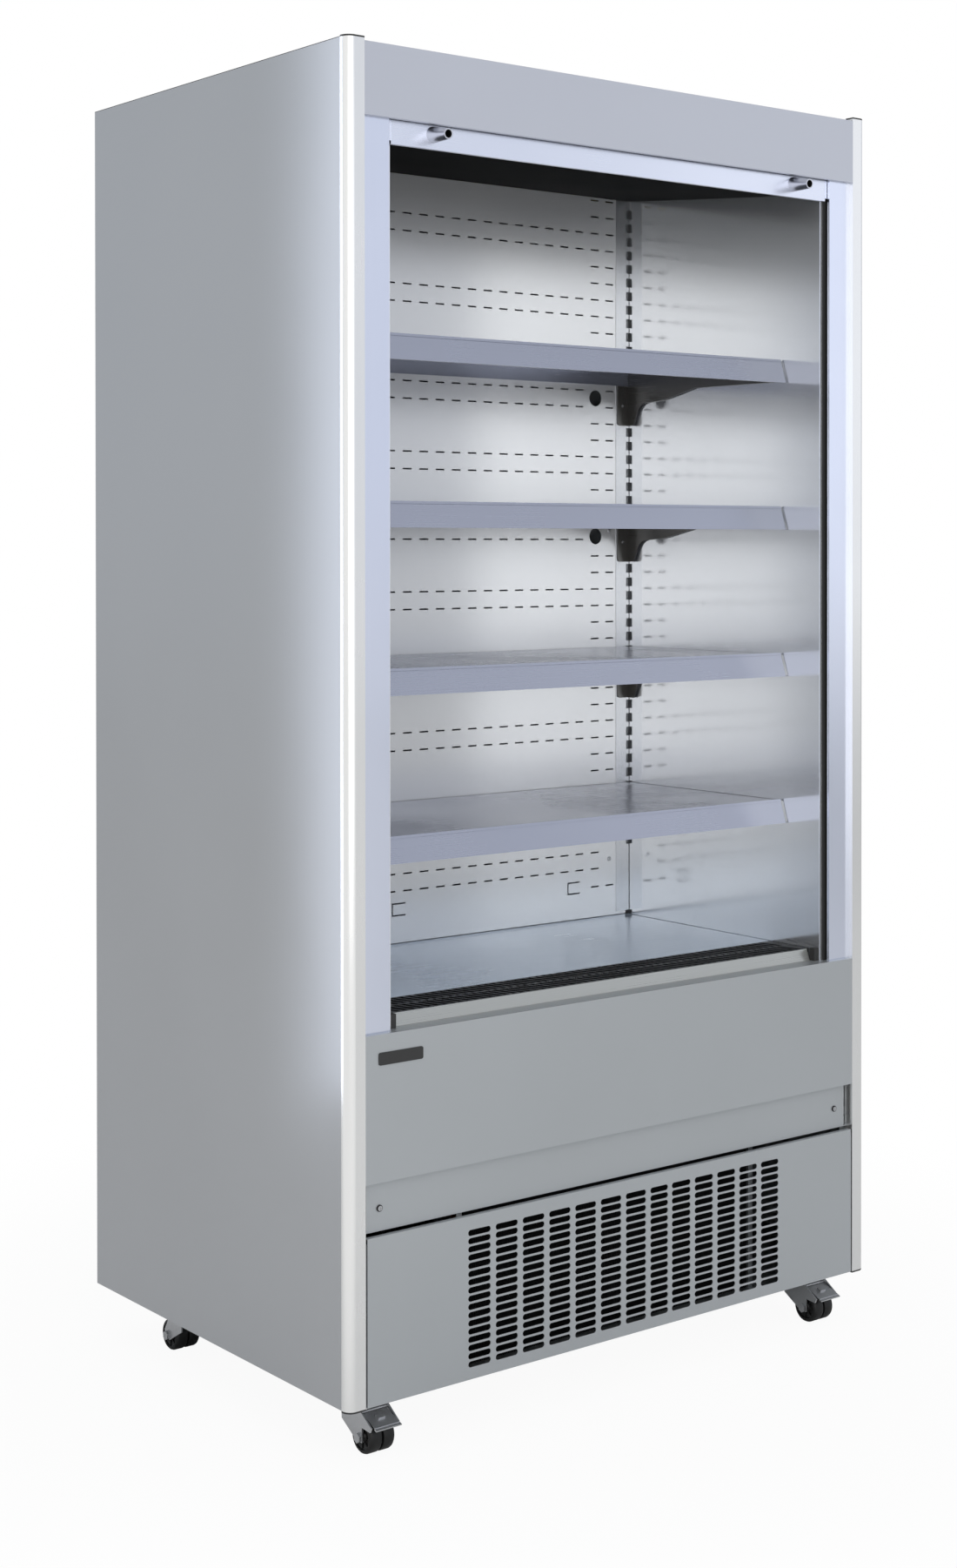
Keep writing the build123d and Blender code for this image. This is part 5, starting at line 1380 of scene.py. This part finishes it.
@dataclass
class FinnedCoil(Assembly):
    """Heat exchanger: a stack of fins on rows of tubes with return bends.

    Attributes:
        node: CAD node that it stands for.
        fin_finish: Finish of the fins.
        tube_finish: Finish of the tubes.
        rows: Tube rows in height.
        fin_pitch: Distance between fins.
        fin: Thickness of a fin.
        tube: Radius of a tube.
        plate: Thickness of an end plate.
        bend: How far the return bends stand out.
        fin_inset: How far a fin's edge stands back from the coil's box.
        stub: How far the tubes' open ends stand out.
        lip: Width of an end plate's folds.
    """

    node: str
    fin_finish: Finish
    tube_finish: Finish
    rows: int
    fin_pitch: float = 3.6 * MM
    fin: float = 0.35 * MM
    tube: float = 5.0 * MM
    plate: float = 2.0 * MM
    bend: float = 14.0 * MM
    fin_inset: float = 1.5 * MM
    stub: float = 2.0 * MM
    lip: float = 8.0 * MM

    def build(self) -> None:
        """Make the fins, the tubes and the return bends."""
        low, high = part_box(self.node)
        self.fins(low, high)
        self.end_plates(low, high)
        self.tubes(low, high)

    def along(self, part: str, shape: Mesh, finish: Finish, count: int, step: Point) -> Thing:
        """Repeat one part of the coil along a step.

        Args:
            part: End of the piece's name.
            shape: Mesh of one part; it is freed here.
            finish: Finish of the parts.
            count: Number of parts.
            step: Distance from one to the next.

        Returns:
            The piece with all the parts.
        """
        unit = Piece.from_bmesh(f"{self.node}_{part}", shape, finish)
        still = (0.0, 0.0, 0.0)
        return self.works.rows.bake(unit, finish, Count=count, Step=step, Rows=1, Row_Step=still)

    def fins(self, low: Vector, high: Vector) -> None:
        """Repeat one thin fin along the coil."""
        shape = bmesh.new()
        start = low.x + self.plate + self.fin_pitch / 2
        count = int((high.x - low.x - 2 * self.plate) / self.fin_pitch)
        inset = self.fin_inset
        foot = (start, low.y + inset, low.z + inset)
        Piece.block(shape, foot, (start + self.fin, high.y - inset, high.z - inset))
        fins = self.along("fins", shape, self.fin_finish, count, (self.fin_pitch, 0.0, 0.0))
        self.works.fit(fins, "cabinet", Slot.COIL, (self.node,))

    def end_plates(self, low: Vector, high: Vector) -> None:
        """Make the two end plates, folded outwards at front and back."""
        shape = bmesh.new()
        for side in (-1, 1):
            edge = high.x if side > 0 else low.x
            inner = edge - side * self.plate
            x = sorted((inner, edge))
            Piece.block(shape, (x[0], low.y, low.z), (x[1], high.y, high.z))
            x = sorted((edge, edge + side * self.lip))
            for y in (low.y, high.y - self.plate):
                Piece.block(shape, (x[0], y, low.z), (x[1], y + self.plate, high.z))
        piece = Piece.from_bmesh(f"{self.node}_end_plates", shape, Palette.galvanised)
        self.works.fit(piece, "cabinet", Slot.GALVANISED)

    def tubes(self, low: Vector, high: Vector) -> None:
        """Repeat a hairpin of two tubes and its bend in every row."""
        shape = bmesh.new()
        rise = (high.z - low.z) / self.rows
        deep = high.y - low.y
        near, far = low.y + deep * 0.3, low.y + deep * 0.7
        radius = (far - near) / 2
        middle = (near + far) / 2
        end = low.x - self.stub
        path = [(end, near), (high.x, near)]
        steps = 10
        for i in range(1, steps):
            angle = -math.pi / 2 + math.pi * i / steps
            bend = (high.x + self.bend * math.cos(angle), middle + radius * math.sin(angle))
            path.append(bend)
        path += [(high.x, far), (end, far)]
        rings, sides = [], 12
        z = low.z + rise / 2
        for i, (x, y) in enumerate(path):
            a, b = path[max(i - 1, 0)], path[min(i + 1, len(path) - 1)]
            run = Vector((b[0] - a[0], b[1] - a[1], 0.0)).normalized()
            side = Vector((-run.y, run.x, 0.0))
            ring = []
            for k in range(sides):
                angle = 2 * math.pi * k / sides
                off = side * math.cos(angle) + Vector((0, 0, 1)) * math.sin(angle)
                ring.append(shape.verts.new(Vector((x, y, z)) + off * self.tube))
            rings.append(ring)
        Piece.skin(shape, rings, closed=True)
        shape.faces.new(rings[0])
        shape.faces.new(rings[-1][::-1])
        bmesh.ops.recalc_face_normals(shape, faces=shape.faces)
        tubes = self.along("tubes", shape, self.tube_finish, self.rows, (0.0, 0.0, rise))
        Piece.smooth(tubes, SOFT)
        self.works.fit(tubes, "cabinet", Slot.COIL)


@dataclass
class MachineSpace(Assembly):
    """Condensing unit, drain and electrical box under the cold space.

    Attributes:
        hood_length: Length of a louvre hood on the rear cover.
        hood_height: Height of a louvre hood.
        hood_depth: How far a hood is pressed in.
        hood_rows: Louvre rows.
        hood_columns: Louvre columns.
        hood_pitch: Distance between rows.
        hood_column_pitch: Distance between columns.
        hood_top: Height of the highest row.
        hood_sheet: Thickness of a hood.
        cover: Thickness of the rear cover.
        shell_x: X of the compressor's axis.
        shell_radius: Radius of the compressor's shell.
        shell_foot: Height of the shell's underside above the compressor's feet.
        seam_rise: Height of the weld seam above the shell's underside.
        seam_profile: Section of the seam as (along the axis, out of the shell), in mm.
    """

    hood_length: float = 90.0 * MM
    hood_height: float = 6.0 * MM
    hood_depth: float = 5.0 * MM
    hood_rows: int = 12
    hood_columns: int = 7
    hood_pitch: float = 16.0 * MM
    hood_column_pitch: float = 120.0 * MM
    hood_top: float = 330.0 * MM
    hood_sheet: float = 0.8 * MM
    cover: float = 1.0 * MM
    shell_x: float = 250.0 * MM
    shell_radius: float = 88.0 * MM
    shell_foot: float = 21.0 * MM
    seam_rise: float = 86.0 * MM
    seam_profile: tuple[Pair, ...] = (
        (-4.0, -1.0), (-3.2, 2.2), (-1.2, 3.4), (1.2, 3.4), (3.2, 2.2), (4.0, -1.0),
    )

    def build(self) -> None:
        """Dress the unit, and make the coil, the fan and the louvre hoods."""
        self.works.dress(Palette.shell, "condenser_fan_shroud", "compressor")
        self.works.dress(Palette.tray_plastic, "condensate_drain")
        self.works.dress(Palette.galvanised, "control_box")
        FinnedCoil(self.works, "condenser", Palette.coil_black, Palette.copper, 6).build()
        FanWheel(self.works, "condenser_fan", "condenser_fan", 31.0 * MM).build()
        self.weld_band()
        self.hoods()

    def weld_band(self) -> None:
        """Turn the rolled weld seam round the compressor's shell."""
        low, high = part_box("compressor")
        seam = low.z + self.shell_foot + self.seam_rise
        middle = (self.shell_x, (low.y + high.y) / 2, seam)
        outline = [(a * MM, self.shell_radius + out * MM) for a, out in self.seam_profile]
        shape = bmesh.new()
        place = Matrix.Translation(middle) @ Matrix.Rotation(-math.pi / 2, 4, "Y")
        Piece.turned(shape, outline, place, SHELL_ROUND, closed=True)
        self.works.make("compressor_weld_seam", shape, Palette.shell, "cabinet", Slot.COMPRESSOR)

    def hoods(self) -> None:
        """Press curved hoods inwards from the rear cover, in rows and columns."""
        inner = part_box("rear_cover")[1].y - self.cover
        shape = bmesh.new()
        steps, half = 6, self.hood_length / 2
        x0 = -(self.hood_columns - 1) / 2 * self.hood_column_pitch
        top = self.hood_top + self.hood_height / 2 + 0.6 * MM
        rows = []
        for i in range(steps + 1):
            t = i / steps
            y = inner - self.hood_depth * math.sin(t * math.pi / 2)
            z = top - (self.hood_height + 2.0 * MM) * (1 - math.cos(t * math.pi / 2))
            reach = half - 3.0 * MM * math.sin(t * math.pi / 2)
            rows.append([shape.verts.new((x0 + side * reach, y, z)) for side in (-1, 1)])
        Piece.skin(shape, rows, closed=False)
        bmesh.ops.solidify(shape, geom=shape.faces[:], thickness=self.hood_sheet)
        bmesh.ops.recalc_face_normals(shape, faces=shape.faces)
        unit = Piece.from_bmesh("rear_louvre_hoods", shape, Palette.galvanised)
        hoods = self.works.rows.bake(
            unit,
            Palette.galvanised,
            Count=self.hood_columns,
            Step=(self.hood_column_pitch, 0.0, 0.0),
            Rows=self.hood_rows,
            Row_Step=(0.0, 0.0, -self.hood_pitch),
        )
        Piece.smooth(hoods, SOFT)
        self.works.fit(hoods, "cabinet", Slot.GALVANISED)


@dataclass
class CoolingWell(Assembly):
    """Coil, fan plate and fan in the well under the deck."""

    def build(self) -> None:
        """Dress the fan plate, and make the coil and the fan."""
        self.works.dress(Palette.galvanised, "evaporator_fan_plate")
        FinnedCoil(self.works, "evaporator", Palette.fins, Palette.copper, 4).build()
        FanWheel(self.works, "evaporator_fan", "evaporator_fan", 20.0 * MM).build()


@dataclass
class Castors(Assembly):
    """Four swivelling twin-wheel castors, the front two with brake pedals.

    Attributes:
        fasteners: Maker of bolts.
        wheel_x: Distance of the wheels from the middle.
        radius: Radius of a wheel.
        half_width: Half width of a twin wheel.
        bore: Radius of the axle's bore.
        front_axle: Y of the front axle.
        rear_axle: Y of the rear axle.
        trail: Distance from the axle to the swivel.
        plate_bottom: Underside of the top plates.
        bolt_offset: Place of a bolt from the swivel, in X and Y.
        ribs: Ribs in the dish of each wheel face.
        rib_half: Half thickness of a rib.
    """

    fasteners: Fasteners
    wheel_x: float = 457.0 * MM
    radius: float = 25.0 * MM
    half_width: float = 22.0 * MM
    bore: float = 4.05 * MM
    front_axle: float = -308.25 * MM
    rear_axle: float = 235.75 * MM
    trail: float = 22.0 * MM
    plate_bottom: float = 81.5 * MM
    bolt_offset: Pair = (31.0 * MM, 24.0 * MM)
    ribs: int = 8
    rib_half: float = 0.6 * MM

    def build(self) -> None:
        """Dress the metalwork, make the wheels and bolt the plates on."""
        self.works.dress(Palette.zinc, "caster_plates")
        for hand, side in HANDS:
            for row, axle in (("front", self.front_axle), ("rear", self.rear_axle)):
                self.works.dress(Palette.zinc, f"{row}_{hand}_fork")
                self.wheel(f"{row}_{hand}_wheel", side * self.wheel_x, axle)
            self.works.dress(Palette.zinc, f"{hand}_brake_pedal")
        self.bolts()

    def wheel(self, name: str, x: float, y: float) -> None:
        """Turn a twin wheel, put ribs in its dishes and ride it on its body.

        Args:
            name: CAD node and body of the wheel.
            x: X of the wheel's middle.
            y: Y of the axle.
        """
        place = Matrix.Translation((x, y, self.radius))
        w, r = self.half_width, self.radius
        tyre_half = [
            (0.0, r - 4.5 * MM),
            (1.5 * MM, r - 4.5 * MM),
            (1.5 * MM, r - 2.2 * MM),
            (2.2 * MM, r - 0.8 * MM),
            (3.8 * MM, r),
            (w - 4.6 * MM, r),
            (w - 2.2 * MM, r - 0.9 * MM),
            (w - 0.6 * MM, r - 2.6 * MM),
            (w, r - 4.8 * MM),
            (w, r - 6.2 * MM),
            (w - 0.8 * MM, r - 6.8 * MM),
            (w - 2.6 * MM, r - 7.0 * MM),
        ]
        hub_half = [
            (w - 2.6 * MM, r - 7.0 * MM),
            (w - 3.2 * MM, r - 8.0 * MM),
            (w - 3.6 * MM, 9.6 * MM),
            (w - 1.2 * MM, 8.8 * MM),
            (w - 0.5 * MM, 8.2 * MM),
            (w - 0.5 * MM, self.bore),
        ]
        tyre = bmesh.new()
        closing = [(-a, b) for a, b in tyre_half[:0:-1]]
        Piece.turned(tyre, closing + tyre_half, place, WHEEL_ROUND, closed=True)
        self.works.make(f"{name}_tyres", tyre, Palette.rubber, name, Slot.WHEEL_BLACK, name)
        hub = bmesh.new()
        both = [(-a, b) for a, b in hub_half[::-1]] + hub_half
        Piece.turned(hub, both, place, WHEEL_ROUND, closed=True)
        self.works.make(f"{name}_hub", hub, Palette.hub, name, Slot.WHEEL_BLACK)
        self.dish_ribs(name, Vector((x, y, self.radius)))

    def dish_ribs(self, name: str, centre: Vector) -> None:
        """Turn a pair of ribs, one in each dish, round the wheel's axle."""
        shape = bmesh.new()
        w = self.half_width
        for side in (-1, 1):
            x = sorted((side * (w - 4.2 * MM), side * (w - 1.6 * MM)))
            tip = (x[1], self.rib_half, self.radius - 7.4 * MM)
            Piece.block(shape, (x[0], -self.rib_half, 8.4 * MM), tip)
        Piece.rounded(shape, 0.25 * MM)
        unit = Piece.from_bmesh(f"{name}_ribs", shape, Palette.hub)
        ribs = self.works.turns.bake(
            unit, Palette.hub, Count=self.ribs, Axis=(1.0, 0.0, 0.0), Hub=tuple(centre)
        )
        self.works.fit(ribs, name, Slot.WHEEL_BLACK)

    def bolts(self) -> None:
        """Bolt every top plate under the body with four hex heads."""
        swivels = (self.front_axle + self.trail, self.rear_axle - self.trail)
        across, along = self.bolt_offset
        seats = [
            (side * self.wheel_x + sx * across, y + sy * along, self.plate_bottom)
            for _, side in HANDS
            for y in swivels
            for sx in (-1, 1)
            for sy in (-1, 1)
        ]
        head = self.fasteners.hex_head("caster_bolt_head")
        self.fasteners.seat("caster_bolts", head, seats, (math.pi, 0.0, 0.0))


@dataclass(frozen=True)
class SoftLight:
    """A large area lamp aimed at the object.

    Attributes:
        name: Name of the lamp.
        place: Where it stands.
        target: What it points at.
        size: Its width and height.
        power: Its power in watts.
        colour: Its colour.
        spread: Angle that its light is kept within, in degrees.
    """

    name: str
    place: Point
    target: Point
    size: Pair
    power: float
    colour: Point = (1.0, 1.0, 1.0)
    spread: float = 180.0

    def build(self) -> None:
        """Add the lamp to the scene."""
        lamp = bpy.data.lights.new(self.name, "AREA")
        lamp.shape = "RECTANGLE"
        lamp.size, lamp.size_y = self.size
        lamp.energy = self.power
        lamp.color = self.colour
        lamp.spread = math.radians(self.spread)
        thing = placed(self.name, lamp)
        thing.location = self.place
        aim = Vector(self.target) - Vector(self.place)
        thing.rotation_euler = aim.to_track_quat("-Z", "Y").to_euler()
        thing.visible_camera = False


@dataclass
class Studio:
    """Pale floor, soft light and the camera at the photograph's angle.

    Attributes:
        camera_place: Where the camera stands.
        forward: The way it looks.
        roll: Its turn about the way it looks, in degrees.
        lens: Focal length in mm.
        sensor: Width of the sensor in mm.
        sight: How far the camera sees.
        shift: Shift of the frame, as a share of its width.
        world_light: Strength of the world on surfaces.
        left_front: Backdrop tone in gloss towards the left front.
        right_front: The same towards the right front.
        left_rear: The same towards the left rear.
        right_rear: The same towards the right rear.
        across: Reach of X in a unit direction over which left blends into right.
        along: Reach of Y in a unit direction over which front blends into rear.
        floor_glow: Distances and shares between which the floor turns plain white.
        floor_gloss: The same in gloss, with distances along the gloss way.
        gloss_way: Direction towards the left front.
        floor_colour: Colour of the floor near the object.
        floor_half: Half width of the floor.
        sky: Colour of the world's light on surfaces.
        lamps: The lamps.
    """

    camera_place: Point = (-2.36846, -3.00833, 1.31109)
    forward: Point = (0.61494, 0.78853, -0.00884)
    roll: float = -0.034
    lens: float = 86.04
    sensor: float = 36.0
    sight: float = 100.0
    shift: float = -0.2276
    world_light: float = 0.64
    left_front: Point = (1.0, 1.0, 1.0)
    right_front: Point = (0.76, 0.79, 0.86)
    left_rear: Point = (0.72, 0.77, 0.84)
    right_rear: Point = (0.24, 0.25, 0.26)
    across: Pair = (-0.5, 0.5)
    along: Pair = (0.0, 0.9)
    floor_glow: tuple[float, float, float, float] = (0.6, 1.6, 0.94, 1.0)
    floor_gloss: tuple[float, float, float, float] = (0.3, 1.5, 0.0, 0.8)
    gloss_way: Point = (-0.82, -0.58, 0.0)
    floor_colour: Colour = (0.86, 0.86, 0.86, 1.0)
    floor_half: float = 30.0
    sky: Colour = (0.97, 0.985, 1.0, 1.0)
    lamps: tuple[SoftLight, ...] = (
        SoftLight("key_light", (-1.2, -4.6, 4.4), (0.0, 0.0, 1.1), (3.6, 2.6), 28.0),
        SoftLight(
            "opening_light", (-0.9, -2.4, 1.5), (0.1, 0.2, 1.2), (2.8, 2.0), 6.2, spread=110.0
        ),
        SoftLight(
            "edge_light",
            (-0.8, -0.05, 1.4),
            (-0.533, -0.36, 1.4),
            (0.12, 1.9),
            0.28,
            (0.8, 0.86, 1.0),
            spread=60.0,
        ),
        SoftLight("top_light", (0.4, 0.2, 4.6), (0.0, 0.0, 1.0), (3.0, 3.0), 14.0),
        SoftLight("right_light", (3.6, -2.4, 2.0), (0.0, 0.0, 1.0), (2.4, 2.6), 5.0),
    )

    def build(self) -> None:
        """Set the colour handling, world, floor, lamps and camera."""
        bpy.context.scene.view_settings.view_transform = "Standard"
        self.world()
        self.floor()
        for lamp in self.lamps:
            lamp.build()
        self.camera()

    def backdrop(self, graph: Graph) -> Socket:
        """Blend the backdrop's four tones by the direction it is seen in."""
        seen = graph.add("ShaderNodeTexCoord").outputs["Generated"]
        way = graph.add("ShaderNodeSeparateXYZ", {0: seen}).outputs
        x_share, y_share = (
            graph.spread(way[axis], (0.0, 1.0), *ends, interpolation_type="SMOOTHSTEP")
            for axis, ends in (("X", self.across), ("Y", self.along))
        )
        front = graph.mix(x_share, (*self.left_front, 1.0), (*self.right_front, 1.0))
        rear = graph.mix(x_share, (*self.left_rear, 1.0), (*self.right_rear, 1.0))
        return graph.mix(y_share, front, rear)

    def world(self) -> None:
        """Light the object softly, show white to the camera and the backdrop in gloss."""
        world = bpy.data.worlds.new("studio_world")
        graph = Graph.emptied(world)
        kind = "ShaderNodeBackground"
        light = graph.add(kind, {"Color": self.sky, "Strength": self.world_light})
        gloss = graph.add(kind, {"Color": self.backdrop(graph)})
        white = graph.add(kind, {"Color": WHITE})
        path = graph.add("ShaderNodeLightPath").outputs
        mirrored = graph.maths("MAXIMUM", path["Is Glossy Ray"], path["Is Transmission Ray"])
        shown = light.outputs[0]
        for factor, shader in ((mirrored, gloss), (path["Is Camera Ray"], white)):
            inputs = {0: factor, 1: shown, 2: shader.outputs[0]}
            shown = graph.add("ShaderNodeMixShader", inputs).outputs[0]
        graph.add("ShaderNodeOutputWorld", {"Surface": shown})
        bpy.context.scene.world = world

    def floor(self) -> None:
        """Lay a wide pale floor that keeps the object's shadow near it."""
        finish = bpy.data.materials.new("studio_floor")
        graph = Graph.emptied(finish)
        matt = graph.add("ShaderNodeBsdfDiffuse", {"Color": self.floor_colour})
        glow = graph.add("ShaderNodeEmission", {"Color": WHITE, "Strength": 1.0})
        here = graph.add("ShaderNodeTexCoord").outputs["Object"]
        kind = "ShaderNodeVectorMath"
        far = graph.add(kind, {0: here}, operation="LENGTH")
        ahead = graph.add(kind, {0: here, 1: self.gloss_way}, operation="DOT_PRODUCT")
        path = graph.add("ShaderNodeLightPath").outputs
        shares = []
        for distance, (start, end, low, high), ray in (
            (far, self.floor_glow, "Is Camera Ray"),
            (ahead, self.floor_gloss, "Is Glossy Ray"),
        ):
            share = graph.spread(
                distance.outputs["Value"],
                (low, high),
                start,
                end,
                interpolation_type="SMOOTHSTEP",
            )
            shares.append(graph.maths("MULTIPLY", path[ray], share))
        inputs = {0: graph.maths("ADD", *shares), 1: matt.outputs[0], 2: glow.outputs[0]}
        mixed = graph.add("ShaderNodeMixShader", inputs).outputs[0]
        graph.add("ShaderNodeOutputMaterial", {"Surface": mixed})
        shape = bmesh.new()
        bmesh.ops.create_grid(shape, x_segments=1, y_segments=1, size=self.floor_half)
        mesh = bpy.data.meshes.new("studio_floor")
        shape.to_mesh(mesh)
        shape.free()
        mesh.materials.append(finish)
        placed("studio_floor", mesh)

    def camera(self) -> None:
        """Stand the camera where the photograph was taken from."""
        lens = bpy.data.cameras.new("photo_camera")
        lens.sensor_fit = "HORIZONTAL"
        lens.sensor_width = self.sensor
        lens.lens = self.lens
        lens.shift_y = self.shift
        lens.clip_end = self.sight
        camera = placed("photo_camera", lens)
        look = Vector(self.forward).to_track_quat("-Z", "Y").to_matrix()
        turned = look @ Matrix.Rotation(math.radians(self.roll), 3, "Z")
        camera.matrix_world = Matrix.Translation(self.camera_place) @ turned.to_4x4()
        bpy.context.scene.camera = camera


def main() -> None:
    """Build every sub-assembly in order."""
    logging.basicConfig(level=logging.INFO, format="%(name)s: %(message)s")
    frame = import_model()
    Studio().build()
    works = Works(frame)
    fasteners = Fasteners(works)
    Carcass(works, fasteners).build()
    FrontPanels(works).build()
    ColdSpace(works, fasteners).build()
    Shelving(works).build()
    NightBlind(works).build()
    MachineSpace(works).build()
    CoolingWell(works).build()
    Castors(works, fasteners).build()


if __name__ == "__main__":
    main()
